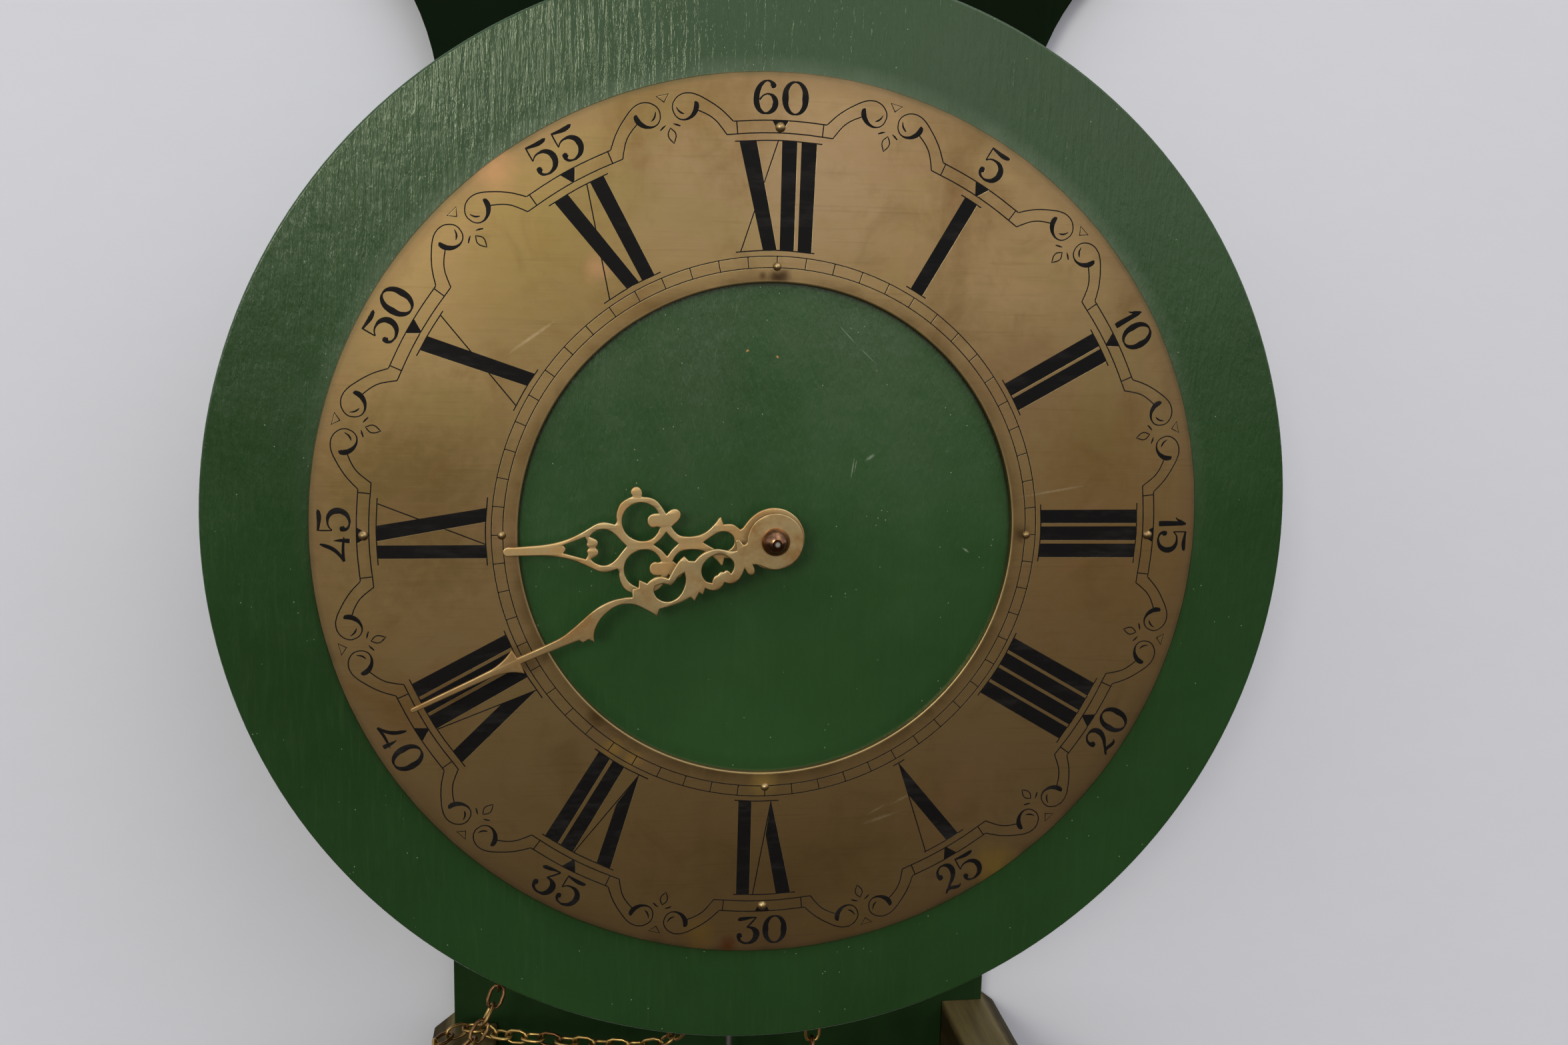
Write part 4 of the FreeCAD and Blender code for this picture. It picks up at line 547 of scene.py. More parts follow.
def gloss_paint(colours):
    """Brushed gloss paint: upright ridges in clusters with painted highlights on their crests, paler centre with a
    painted sheen over its top, haze along the ring that is dust and painted sheen, painted shadow under the ring's
    inner edge, specks, scuffs.
    """
    paint = Finish("green_gloss_paint", specular=0.54)
    paint.set("Specular Tint", (0.90, 1.0, 0.78))
    across, height, radius = paint.along("X"), paint.along("Z"), paint.from_axis()
    clusters = paint.level(paint.noise(34.0, stretch=(1, 1, 0.5), detail=4.0, rough=0.65),
                           0.32, 0.68, 0.30, 1.0)
    strokes = paint.times(clusters, paint.level(across, -0.10, 0.06, 1.0, 0.55))
    bristles = paint.noise(520.0, stretch=(1, 1, 0.09), detail=4.0, rough=0.65, warp=0.5)
    ridges = paint.times(paint.calc("SUBTRACT", bristles, 0.5), strokes)
    clouds = paint.noise(11.0, detail=5.0, rough=0.6)
    fresh = paint.tones(clouds, colours.dial_green, (0.3, 0.86), (0.7, 1.16))
    pale = paint.tones(clouds, colours.dial_green, (0.3, 1.15), (0.7, 1.55))
    faded = paint.level(radius, 0.078, 0.086, 1.0, 0.0)
    upper = paint.level(height, -0.02, 0.09)
    patchy = paint.level(paint.noise(42.0, stretch=(1, 1, 0.6), detail=5.0, rough=0.62),
                         0.36, 0.66, 0.15, 0.90)
    # Painted sheen: the centre is laid paler towards its top
    green = paint.lay(CENTRE_SHEEN_GREEN, paint.blend(faded, fresh, pale), faded, upper, patchy)
    # Painted highlight: the ridges' crests are laid lighter green
    green = paint.lay(RIDGE_HIGHLIGHT_GREEN, green, paint.level(ridges, 0.0, 0.2, 0.0, 0.30))
    # Haze along the ring's outer edge, laid in the upper half only: dust and painted sheen
    at_ring = paint.times(paint.level(radius, 0.1490, 0.1502), paint.level(radius, 0.1503, 0.1560, 1.0, 0.0))
    dust_and_sheen = paint.level(paint.noise(70.0, detail=5.0), 0.25, 0.75, 0.08, 0.30)
    green = paint.lay(HAZE_AND_SHEEN_GREEN, green, at_ring, dust_and_sheen, upper)
    green = paint.lay(SPECK_PALE, green, paint.specks(330.0, 0.062), 0.60)
    for scuff in PAINT_SCUFFS:
        green = paint.lay(SCUFF_PALE, green, paint.streak(*scuff), SCUFF_SHARE)
    for chip in PAINT_CHIPS:
        green = paint.lay(CHIP_WOOD, green, paint.streak(*chip), CHIP_SHARE)
    # Painted shadow: the paint just inside the ring's inner edge is darkened, in the upper half only
    corner = paint.times(paint.level(radius, 0.0824, 0.0833, 0.0, 0.95),
                         paint.calc("LESS_THAN", radius, 0.10))
    paint.set("Base Color", paint.lay(RING_EDGE_SHADOW, green, corner, paint.level(height, -0.03, 0.03)))
    paint.set("Roughness", paint.level(paint.noise(45.0, detail=5.0), 0.3, 0.7, 0.18, 0.26))
    paint.relief(ridges, 0.65, 0.75 * MM)
    paint.relief(paint.noise(800.0, stretch=(1, 1, 0.30), detail=3.0, rough=0.6, warp=0.4), 0.50, 0.22 * MM)
    paint.relief(paint.noise(130.0, detail=3.0), 0.12, 0.8 * MM)
    return paint.material


def ring_finish(colours):
    """Tarnished brass: brown clouds, regions of other tones, streaks, stains at the pins and the rim, painted
    glints and painted shadows near the pins and the lip, and a painted highlight on the lip.
    """
    brass = Finish("tarnished_ring_brass", metallic=1.0)
    radius = brass.from_axis()
    clouds = brass.noise(15.0, detail=6.0, rough=0.62, warp=0.8)
    patches = brass.noise(22.0, stretch=(0.6, 1, 1), detail=4.0, rough=0.6, warp=0.5)
    smudges = brass.noise(48.0, detail=5.0, rough=0.6, warp=1.0)
    brushed = brass.noise(1300.0, stretch=(0.05, 1, 1), detail=3.0, rough=0.6)
    rubbed = brass.noise(900.0, stretch=(0.04, 1, 1), detail=2.0, lean=38.0)
    colour = brass.ramp(clouds, (0.32, colours.ring_tarnish), (0.48, colours.ring_brass),
                        (0.68, shaded(colours.ring_brass, 1.2)))
    for place, shade, share in RING_REGIONS:
        colour = brass.lay(shade, colour, brass.spot(*place), share)
    for shade, pattern, low, high, share in (
            (RING_ROSE, patches, 0.54, 0.70, 0.45), (RING_OLIVE, patches, 0.44, 0.30, 0.50),
            (shaded(colours.ring_tarnish, 0.85), smudges, 0.54, 0.70, 0.28),
            (shaded(colours.ring_brass, 1.35), brushed, 0.52, 0.82, 0.14),
            (shaded(colours.ring_tarnish, 0.75), rubbed, 0.58, 0.85, 0.28)):
        colour = brass.lay(shade, colour, brass.level(pattern, low, high, 0.0, share))
    colour = brass.lay(RING_RIM_BROWN, colour, brass.level(radius, 0.1425, 0.1500, 0.0, 0.55),
                       brass.level(clouds, 0.3, 0.6, 0.3, 1.0))
    colour = brass.lay(RING_PAINT_OVERLAP, colour, brass.level(radius, 0.1480, 0.1502),
                       brass.level(smudges, 0.3, 0.6, 0.2, 0.75))
    colour = brass.lay(shaded(colours.ring_tarnish, 0.55), colour,
                       brass.level(radius, 0.0846, 0.0882, 0.55, 0.0),
                       brass.level(smudges, 0.35, 0.6, 0.25, 1.0))
    # Stains, with painted glints and painted shadows among them
    for place, shade in RING_STAINS_GLINTS_AND_SHADOWS:
        colour = brass.lay(shade, colour, brass.spot(*place), STAIN_GLINT_AND_SHADOW_SHARE)
    for mark in RING_STREAKS:
        colour = brass.lay(RING_STREAK, colour, brass.streak(*mark), RING_STREAK_SHARE)
    # Painted highlight: the inner lip is laid half over with bright brass
    brass.set("Base Color", brass.lay(RING_LIP_HIGHLIGHT, colour, brass.level(radius, 0.0840, 0.0846, 0.5, 0.0)))
    brass.set("Roughness", brass.level(clouds, 0.3, 0.7, 0.46, 0.35))
    brass.relief(brushed, 0.10, 0.05 * MM)
    brass.relief(rubbed, 0.08, 0.05 * MM)
    brass.relief(brass.noise(60.0, detail=4.0), 0.05, 0.6 * MM)
    return brass.material


def wax_finish(colours):
    wax = Finish("black_wax", specular=0.09)
    grain = wax.noise(700.0, detail=4.0)
    cracks = wax.noise(140.0, stretch=(0.25, 1, 1.0), detail=5.0, rough=0.7)
    wax.set("Base Color", wax.ramp(cracks, (0.5, colours.wax_black), (0.80, WAX_CRACKS)))
    wax.set("Roughness", wax.level(grain, 0.3, 0.7, 0.36, 0.55))
    wax.relief(grain, 0.2, 0.08 * MM)
    return wax.material


def worn_metal(colours, name, bright, dull, roughness, cloud=60.0, stretch=(1, 1, 1), outer=None):
    """Metal with dull clouds and fine scratches; outer is a tone reached between two radii."""
    bright, dull = (shaded(getattr(colours, tone), share) for tone, share in (bright, dull))
    metal = Finish(name, metallic=1.0)
    clouds = metal.noise(cloud, detail=5.0, rough=0.62)
    lines = metal.noise(900.0, stretch=stretch, detail=4.0, rough=0.6)
    base = metal.ramp(clouds, (0.36, dull), (0.60, bright))
    if outer:
        (tone, tone_share), start, end, share = outer
        reach = metal.level(metal.from_axis(), start * MM, end * MM, 0.0, share)
        base = metal.lay(shaded(getattr(colours, tone), tone_share), base, reach)
    metal.set("Base Color", metal.lay(shaded(bright, 1.2), base, metal.level(lines, 0.55, 0.8, 0.0, 0.3)))
    metal.set("Roughness", metal.level(clouds, 0.3, 0.7, roughness + 0.12, roughness - 0.05))
    metal.relief(lines, 0.10, 0.05 * MM)
    return metal.material


def chain_finish(colours):
    """Brass wire whose links differ from one to the next, by the tone kept on each link."""
    brass = Finish("chain_wire", metallic=1.0)
    tone = brass.add("Attribute", attribute_name="tone").outputs["Fac"]
    clouds = brass.noise(260.0, detail=4.0)
    mixed = brass.calc("ADD", tone, brass.calc("MULTIPLY_ADD", clouds, 0.7, -0.35), clamp=True)
    brass.set("Base Color", brass.ramp(mixed, (0.15, colours.chain_brown), (0.85, colours.chain_gold)))
    brass.set("Roughness", brass.level(clouds, 0.3, 0.7, 0.48, 0.28))
    brass.relief(brass.noise(1400.0, detail=2.0), 0.12, 0.06 * MM)
    return brass.material


def painted_wood(name):
    """Start of a dull paint over upright grain, with its clouds."""
    paint = Finish(name, specular=0.03)
    grain = paint.noise(180.0, stretch=(1, 1, 0.06), detail=5.0, rough=0.62)
    clouds = paint.noise(16.0, detail=5.0)
    paint.set("Roughness", paint.level(clouds, 0.3, 0.7, 0.52, 0.68))
    paint.relief(grain, 0.22, 0.35 * MM)
    return paint, grain, clouds


def board_finish(colours):
    """Blackened green paint over wood, darker towards the top: painted shade where the dial shades the board."""
    paint, grain, clouds = painted_wood("dark_board_paint")
    dark = paint.tones(clouds, colours.board_green, (0.3, 0.7), (0.72, 1.5))
    colour = paint.lay(shaded(colours.board_green, 2.4), dark, paint.level(grain, 0.55, 0.8, 0.0, 0.25))
    # Painted shade: the board's top, which the dial shades, is darkened
    painted_top_shade = paint.level(paint.along("Z"), 0.05, 0.17, 0.0, 0.8)
    paint.set("Base Color", paint.lay(shaded(colours.board_green, 0.12), colour, painted_top_shade))
    return paint.material


def cheek_finish(colours):
    """Dull brown wood, rubbed pale along the top."""
    paint, _, _ = painted_wood("worn_cheek_paint")
    fibres = paint.noise(240.0, stretch=(1, 0.07, 1), detail=4.0, rough=0.65)
    dull = paint.tones(fibres, colours.bare_wood, (0.35, 0.20), (0.7, 0.42))
    rubbed = paint.tones(fibres, colours.bare_wood, (0.35, 0.75), (0.7, 1.25))
    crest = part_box("bracket_cheek_right")[1].z
    ragged = paint.calc("ADD", paint.along("Z"), paint.times(paint.noise(160.0, detail=4.0), 3.0 * MM))
    paint.set("Base Color", paint.lay(rubbed, dull, paint.level(ragged, crest - 2.5 * MM, crest + 0.5 * MM)))
    return paint.material


def plain_wood_finish(colours):
    wood = Finish("plain_case_wood", roughness=0.62, specular=0.3)
    rings = wood.noise(34.0, stretch=(1, 1, 0.10), detail=6.0, rough=0.6, warp=1.2)
    fibres = wood.noise(420.0, stretch=(1, 1, 0.04), detail=3.0)
    base = wood.tones(rings, colours.plain_wood, (0.32, 0.6), (0.52, 1.0), (0.68, 1.25))
    wood.set("Base Color", wood.lay(shaded(colours.plain_wood, 0.5), base,
                                    wood.level(fibres, 0.5, 0.8, 0.0, 0.35)))
    wood.relief(fibres, 0.25, 0.2 * MM)
    return wood.material


def iron_finish(colours):
    iron = Finish("cast_iron", metallic=0.7)
    pits = iron.noise(420.0, detail=5.0, rough=0.65)
    rust = iron.noise(26.0, detail=6.0, rough=0.65)
    iron.set("Base Color", iron.ramp(rust, (0.42, colours.iron), (0.62, shaded(colours.iron, 1.5)),
                                     (0.80, IRON_RUST)))
    iron.set("Roughness", iron.level(rust, 0.4, 0.8, 0.50, 0.78))
    iron.relief(pits, 0.45, 0.4 * MM)
    return iron.material


FINISH_CALLS = {"gloss": gloss_paint, "ring": ring_finish, "wax": wax_finish, "chain": chain_finish,
                "board": board_finish, "cheek": cheek_finish, "wood": plain_wood_finish, "iron": iron_finish}
finishes = {}


def finish(name):
    """Material of a finish, made when it is first asked for."""
    if name not in finishes:
        colours = bpy.context.scene.clock_colours
        if name in WORN_METALS:
            *tones, settings = WORN_METALS[name]
            finishes[name] = worn_metal(colours, *tones, **settings)
        else:
            finishes[name] = FINISH_CALLS[name](colours)
    return finishes[name]


def place_piece(name, bm, finish_name, body="clock", stands_for=(), sharp=40.0, flat=False):
    """Makes a bmesh a piece that rides on a body; flat keeps wide faces flat beside rounded edges."""
    bmesh.ops.recalc_face_normals(bm, faces=bm.faces)
    mesh = bpy.data.meshes.new(name)
    bm.to_mesh(mesh)
    bm.free()
    if not mesh.polygons:
        raise RuntimeError(name + " has no faces")
    mesh.shade_smooth()
    mesh.set_sharp_from_angle(angle=math.radians(sharp))
    mesh.materials.append(finish(finish_name))
    piece = bpy.data.objects.new(name, mesh)
    bpy.context.scene.collection.objects.link(piece)
    if flat:
        piece.modifiers.new("flat_faces", "WEIGHTED_NORMAL").keep_sharp = True
    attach(piece, body)
    if stands_for:
        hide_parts(*stands_for)
    return piece


def body_of_node(node):
    for body, nodes in frame["record"]["behaviour"]["bodies"].items():
        if node in nodes:
            return body
    raise RuntimeError("no body holds " + node)


def coat_nodes(finish_name, *nodes):
    """Gives CAD nodes that keep their own shape a finish."""
    for node in nodes:
        mesh = frame["nodes"][node].data
        mesh.materials.clear()
        mesh.materials.append(finish(finish_name))


def verts_of(geom):
    return [part for part in geom if isinstance(part, bmesh.types.BMVert)]


def edges_of(geom):
    return [part for part in geom if isinstance(part, bmesh.types.BMEdge)]


def round_off(bm, edges, width, segments):
    bmesh.ops.bevel(bm, geom=edges, offset=width, offset_type="OFFSET", segments=segments, profile=0.5,
                    affect="EDGES", clamp_overlap=True, material=-1)


def merged_copy(node):
    """Copy of a CAD node's mesh with its loose triangles joined."""
    bm = bmesh.new()
    bm.from_mesh(frame["nodes"][node].data)
    bmesh.ops.remove_doubles(bm, verts=bm.verts, dist=WELD)
    return bm


def turn(bm, profile, steps, middle=(0, 0, 0), axis="Y", closed=True):
    """Spins a profile of (radius, place along the axis), in millimetres, about the axis through middle."""
    along = Vector((0, 1, 0)) if axis == "Y" else Vector((0, 0, 1))
    middle = Vector(middle)
    verts = [bm.verts.new(middle + (Vector((1, 0, 0)) * radius + along * place) * MM)
             for radius, place in profile]
    ends = verts[1:] + (verts[:1] if closed else [])
    edges = [bm.edges.new(pair) for pair in zip(verts, ends)]
    bmesh.ops.spin(bm, geom=verts + edges, cent=middle, axis=along, dvec=(0, 0, 0), angle=2 * math.pi,
                   steps=steps, use_merge=True, use_normal_flip=False, use_duplicate=False)
    bmesh.ops.remove_doubles(bm, verts=bm.verts, dist=TURN_WELD)


def soften(node, edge):
    """Copy of a CAD node's solids with its sharp edges rounded."""
    bm = merged_copy(node)
    bmesh.ops.dissolve_limit(bm, angle_limit=math.radians(FLAT_ANGLE), use_dissolve_boundaries=False,
                             verts=bm.verts, edges=bm.edges)
    sharp = [e for e in bm.edges if e.is_manifold and e.calc_face_angle() > math.radians(SHARP_ANGLE)]
    round_off(bm, sharp, edge, 2)
    return bm


def soften_nodes(finish_name, edge, prefix, *nodes):
    for node in nodes:
        place_piece(prefix + node, soften(node, edge), finish_name, body_of_node(node),
                    (node,), flat=True)


def islands(node):
    """Corner points of each solid of a CAD node, in the order of its mesh."""
    bm = merged_copy(node)
    bm.verts.index_update()
    seen = set()
    solids = []
    for vert in bm.verts:
        if vert.index in seen:
            continue
        seen.add(vert.index)
        island = [vert]
        for member in island:
            for edge in member.link_edges:
                other = edge.other_vert(member)
                if other.index not in seen:
                    seen.add(other.index)
                    island.append(other)
        solids.append(np.array([v.co for v in island]))
    bm.free()
    return solids


def mesh_of_curve(curve):
    """Mesh of a curve, which is removed."""
    holder = bpy.data.objects.new("outline", curve)
    bpy.context.scene.collection.objects.link(holder)
    bpy.context.view_layer.update()
    mesh = bpy.data.meshes.new_from_object(holder.evaluated_get(bpy.context.evaluated_depsgraph_get()))
    bpy.data.objects.remove(holder)
    bpy.data.curves.remove(curve)
    return mesh


def add_spline(curve, points, closed, resolution, corners=()):
    """Smooth line through (x, y) or (x, y, half width) points in millimetres, with the named corners."""
    spline = curve.splines.new("BEZIER")
    spline.bezier_points.add(len(points) - 1)
    spline.use_cyclic_u = closed
    spline.resolution_u = resolution
    for index, (place, point) in enumerate(zip(spline.bezier_points, points)):
        kind = "VECTOR" if index in corners else "AUTO"
        place.handle_left_type = kind
        place.handle_right_type = kind
        place.co = (point[0] * MM, point[1] * MM, 0.0)
        place.radius = point[2] * MM if len(point) > 2 else 1.0


class Engraving:
    """Wax of one group of signs: strokes of changing width, and solid blocks."""

    def __init__(self, height):
        self.height = height
        self.curve = bpy.data.curves.new("strokes", "CURVE")
        self.curve.dimensions = "3D"
        self.curve.bevel_depth = 1.0
        self.curve.bevel_resolution = 0
        self.curve.use_fill_caps = True
        self.curve.twist_mode = "Z_UP"
        self.bm = bmesh.new()

    @staticmethod
    def turned(u, v, angle):
        a = math.radians(angle)
        return u * math.cos(a) + v * math.sin(a), v * math.cos(a) - u * math.sin(a)

    def stroke(self, points, angle, closed=False, corners=(), resolution=3):
        line = [(*self.turned(u, v, angle), half) for u, v, half in points]
        add_spline(self.curve, line, closed, resolution, corners)

    def block(self, corners, angle):
        verts = []
        for u, v in corners:
            x, z = self.turned(u, v, angle)
            verts.append(self.bm.verts.new((x * MM, RING_FACE + self.height, z * MM)))
        face = self.bm.faces.new(verts)
        raised = bmesh.ops.extrude_face_region(self.bm, geom=[face])["geom"]
        bmesh.ops.translate(self.bm, verts=verts_of(raised), vec=(0, -2 * self.height, 0))

    def piece(self, name):
        if self.curve.splines:
            mesh = mesh_of_curve(self.curve)
            flat = self.height / (STROKE_FULL * MM)
            middle = RING_FACE - STROKE_SINK * self.height
            mesh.transform(Matrix(((1, 0, 0, 0), (0, 0, -flat, middle), (0, 1, 0, 0), (0, 0, 0, 1))))
            self.bm.from_mesh(mesh)
            bpy.data.meshes.remove(mesh)
        # Painted highlight: a bright brass copy of the wax, shifted to the lower right and behind it, stands in
        # for light on the cuts' lower edges
        edges = self.bm.copy()
        shift = (CUT_HIGHLIGHT_SHIFT * MM, HIGHLIGHT_SINK * self.height, -CUT_HIGHLIGHT_SHIFT * MM)
        bmesh.ops.translate(edges, verts=edges.verts, vec=shift)
        place_piece(name + "_edges", edges, "cut", sharp=60.0)
        return place_piece(name, self.bm, "wax", sharp=60.0)


def on_arc(radius, u):
    return math.sqrt(radius ** 2 - u ** 2)


def arc_points(radius, low, high, count, half):
    """Points of an arc about the dial's centre, from one angle to another in degrees."""
    points = []
    for k in range(count):
        angle = math.radians(low + (high - low) * k / (count - 1))
        points.append((radius * math.sin(angle), radius * math.cos(angle), half))
    return points


class CLOCK_OT_stage(bpy.types.Operator):
    """Sets up the backdrop, the floor, the light and the camera"""

    bl_idname = "clock.stage"
    bl_label = "Stage"

    def execute(self, context):
        colours = context.scene.clock_colours
        self.camera(context)
        self.world(context)
        for lamp in LAMPS:
            self.lamp(*lamp)
        wall = self.sheet("backdrop_wall", (math.pi / 2, 0, 0), (0, BACKDROP_GAP, BACKDROP_HEIGHT))
        wall.data.materials.append(self.wall_finish(colours))
        floor = self.sheet("floor", (0, 0, 0), (0, 0, cad_low.z - FLOOR_DROP))
        floor.data.materials.append(self.floor_finish(colours))
        return {"FINISHED"}

    def camera(self, context):
        lens = bpy.data.cameras.new("view")
        lens.lens = CAMERA_LENS
        lens.sensor_width = CAMERA_SENSOR
        lens.clip_start = 0.01
        camera = bpy.data.objects.new("view", lens)
        camera.location = CAMERA_PLACE
        camera.rotation_euler = [math.radians(part) for part in CAMERA_TURN]
        context.scene.collection.objects.link(camera)
        context.scene.camera = camera

    def world(self, context):
        """Pale above the eye, dim below it and uneven from left to right."""
        world = bpy.data.worlds.new("studio_light")
        world.use_nodes = True
        context.scene.world = world
        sky = Nodes(world.node_tree, "Generated")
        light = sky.ramp(sky.level(sky.along("Z"), -1.0, 1.0), *SKY_HEIGHTS)
        light = sky.blend(1.0, light, sky.ramp(sky.level(sky.along("X"), -1.0, 1.0), *SKY_ACROSS), "MULTIPLY")
        seen = sky.blend(sky.add("LightPath").outputs["Is Camera Ray"], light, SKY_SEEN)
        sky.feed(world.node_tree.nodes["Background"].inputs["Color"], seen)

    def lamp(self, name, place, size, power, tint):
        light = bpy.data.lights.new(name, "AREA")
        light.color = tint
        light.shape = "RECTANGLE"
        light.size, light.size_y = size
        light.energy = power
        lamp = bpy.data.objects.new(name, light)
        lamp.location = place
        lamp.rotation_euler = (Vector(LAMP_AIM) - Vector(place)).to_track_quat("-Z", "Y").to_euler()
        bpy.context.scene.collection.objects.link(lamp)

    def sheet(self, name, turn_by, place):
        bm = bmesh.new()
        bmesh.ops.create_grid(bm, x_segments=1, y_segments=1, size=SHEET_HALF)
        mesh = bpy.data.meshes.new(name)
        bm.to_mesh(mesh)
        bm.free()
        sheet = bpy.data.objects.new(name, mesh)
        sheet.rotation_euler = turn_by
        sheet.location = place
        bpy.context.scene.collection.objects.link(sheet)
        return sheet

    def wall_finish(self, colours):
        """Pale backdrop that is seen and lit from its front only."""
        wall = Finish("wall_plaster", roughness=0.85, specular=0.2)
        clouds = wall.noise(2.2, detail=6.0, rough=0.6)
        wall.set("Base Color", wall.tones(clouds, colours.wall_white, (0.3, 0.95), (0.7, 1.0)))
        wall.relief(wall.noise(70.0, detail=5.0), 0.15, 1.0 * MM)
        back = wall.add("NewGeometry").outputs["Backfacing"]
        self.clear_where(wall, wall.calc("MAXIMUM", back, wall.add("LightPath").outputs["Is Shadow Ray"]))
        return wall.material

    def floor_finish(self, colours):
        """Pale floor that throws no light back on the clock."""
        floor = Finish("pale_floor", roughness=0.85, specular=0.1)
        cast = floor.noise(3.0, detail=4.0)
        floor.set("Base Color", floor.tones(cast, colours.floor_white, (0.3, 0.96), (0.7, 1.0)))
        self.clear_where(floor, floor.calc("SUBTRACT", 1.0, floor.add("LightPath").outputs["Is Camera Ray"]))
        return floor.material

    def clear_where(self, sheet, share):
        choice = sheet.add("MixShader")
        sheet.feed(choice.inputs[0], share)
        sheet.feed(choice.inputs[1], sheet.shader.outputs[0])
        sheet.feed(choice.inputs[2], sheet.add("BsdfTransparent").outputs[0])
        sheet.feed(sheet.tree.nodes["Material Output"].inputs["Surface"], choice.outputs[0])


class CLOCK_OT_boards(bpy.types.Operator):
    """Rounds and paints the hanging board, the cheeks and the case"""

    bl_idname = "clock.boards"
    bl_label = "Boards and case"

    def execute(self, context):
        edge = context.scene.clock_sizes.board_edge
        soften_nodes("board", edge, "painted_", "backboard", "case_side_left", "case_side_right", "case_top")
        soften_nodes("cheek", edge, "painted_", "bracket_cheek_left", "bracket_cheek_right")
        soften_nodes("wood", edge, "planed_", "dial_batten_left", "dial_batten_right", "seat_board")
        return {"FINISHED"}


class CLOCK_OT_dial(bpy.types.Operator):
    """Turns the painted dial with its rounded rim"""

    bl_idname = "clock.dial"
    bl_label = "Painted dial"

    def execute(self, context):
        sizes = context.scene.clock_sizes
        low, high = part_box("dial_disc")
        front, back, radius = low.y / MM, high.y / MM, high.x / MM
        edge = sizes.dial_edge / MM
        rim = [(radius - inset * edge, front + depth * edge) for inset, depth in RIM_ROUND]
        profile = [(DIAL_BORE, back), (DIAL_BORE, front), *rim, (radius, back - 0.5 * edge),
                   (radius - 0.5 * edge, back)]
        bm = bmesh.new()
        turn(bm, profile, sizes.round_steps)
        place_piece("painted_dial", bm, "gloss", "clock", ("dial_disc",), flat=True)
        return {"FINISHED"}


class CLOCK_OT_chapter_ring(bpy.types.Operator):
    """Turns the brass ring with its bevelled inner lip, and the domed pins that hold it"""

    bl_idname = "clock.chapter_ring"
    bl_label = "Chapter ring"

    def execute(self, context):
        steps = context.scene.clock_sizes.round_steps
        low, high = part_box("chapter_ring")
        front, back, radius = low.y / MM, high.y / MM, high.x / MM
        lip_inset = 0.3 * RING_LIP
        profile = [(RING_BORE, back), (RING_BORE, front + RING_LIP),
                   (RING_BORE + lip_inset, front + lip_inset), (RING_BORE + RING_LIP, front),
                   (radius - RING_RIM, front), (radius, front + RING_RIM), (radius, back)]
        bm = bmesh.new()
        turn(bm, profile, steps)
        place_piece("brass_ring", bm, "ring", "clock", ("chapter_ring",), flat=True)
        pins = bmesh.new()
        for quarter in range(4):
            for reach, size in PIN_PLACES:
                x, z = Engraving.turned(0.0, reach, 90.0 * quarter)
                dome = [(out * size, place * size) for out, place in PIN_DOME]
                dome += [(size, PIN_FOOT), (0.0, PIN_FOOT)]
                turn(pins, dome, PIN_STEPS, (x * MM, RING_FACE, z * MM), closed=False)
        place_piece("ring_pins", pins, "pin", sharp=60.0)
        return {"FINISHED"}


class CLOCK_OT_hour_numerals(bpy.types.Operator):
    """Lays the wax of the hour numerals"""

    bl_idname = "clock.hour_numerals"
    bl_label = "Hour numerals"

    def execute(self, context):
        wax = Engraving(context.scene.clock_sizes.wax_height)
        for hour, numeral in enumerate(HOUR_NUMERALS):
            angle = HOUR_STEP * hour
            for bar in numeral["bars"]:
                self.bar(wax, bar, angle)
            if "ex" in numeral:
                self.bar(wax, numeral["ex"][:4], angle)
                self.thin(wax, numeral["ex"][4], numeral["ex"][5], angle)
            if "vee" in numeral:
                left, right, knee, point, thin_top = numeral["vee"]
                wax.block([(left, on_arc(NUMERAL_TOP, left)), (right, on_arc(NUMERAL_TOP, right)),
                           (knee, VEE_KNEE), (point, NUMERAL_FOOT)], angle)
                self.thin(wax, thin_top, point, angle)
            for radius, (low, high) in ((NUMERAL_TOP, numeral["top"]), (NUMERAL_FOOT, numeral["foot"])):
                points = [(u, on_arc(radius, u), HAIRLINE) for u in (low, 0.5 * (low + high), high)]
                wax.stroke(points, angle)
        wax.piece("hour_numerals")
        return {"FINISHED"}

    def bar(self, wax, edges, angle):
        left, right, foot_left, foot_right = edges
        wax.block([(left, on_arc(NUMERAL_TOP, left)), (right, on_arc(NUMERAL_TOP, right)),
                   (foot_right, on_arc(NUMERAL_FOOT, foot_right)),
                   (foot_left, on_arc(NUMERAL_FOOT, foot_left))], angle)

    def thin(self, wax, top, foot, angle):
        ends = [(top, on_arc(NUMERAL_TOP, top), HAIRLINE), (foot, on_arc(NUMERAL_FOOT, foot), HAIRLINE)]
        wax.stroke(ends, angle, corners=(0, 1), resolution=1)


class CLOCK_OT_minute_numbers(bpy.types.Operator):
    """Lays the wax of the minute numbers, each figure from its own strokes"""

    bl_idname = "clock.minute_numbers"
    bl_label = "Minute numbers"

    def execute(self, context):
        wax = Engraving(context.scene.clock_sizes.wax_height)
        for hour in range(12):
            number = str(5 * hour or 60)
            width = sum(FIGURES[figure][0] for figure in number) + FIGURE_GAP * (len(number) - 1)
            way = -1.0 if hour in UPSIDE_DOWN_HOURS else 1.0
            start = -width / 2
            for figure in number:
                figure_width, strokes = FIGURES[figure]
                for stroke in strokes:
                    points = [point for point in stroke if point]
                    laid = [(way * (start + x), FIGURE_MIDDLE + way * (y - FIGURE_HALF_HEIGHT),
                             FIGURE_WEIGHT * half) for x, y, half in points]
                    wax.stroke(laid, HOUR_STEP * hour, closed=None in stroke, resolution=4)
                start += figure_width + FIGURE_GAP
        wax.piece("minute_numbers")
        return {"FINISHED"}


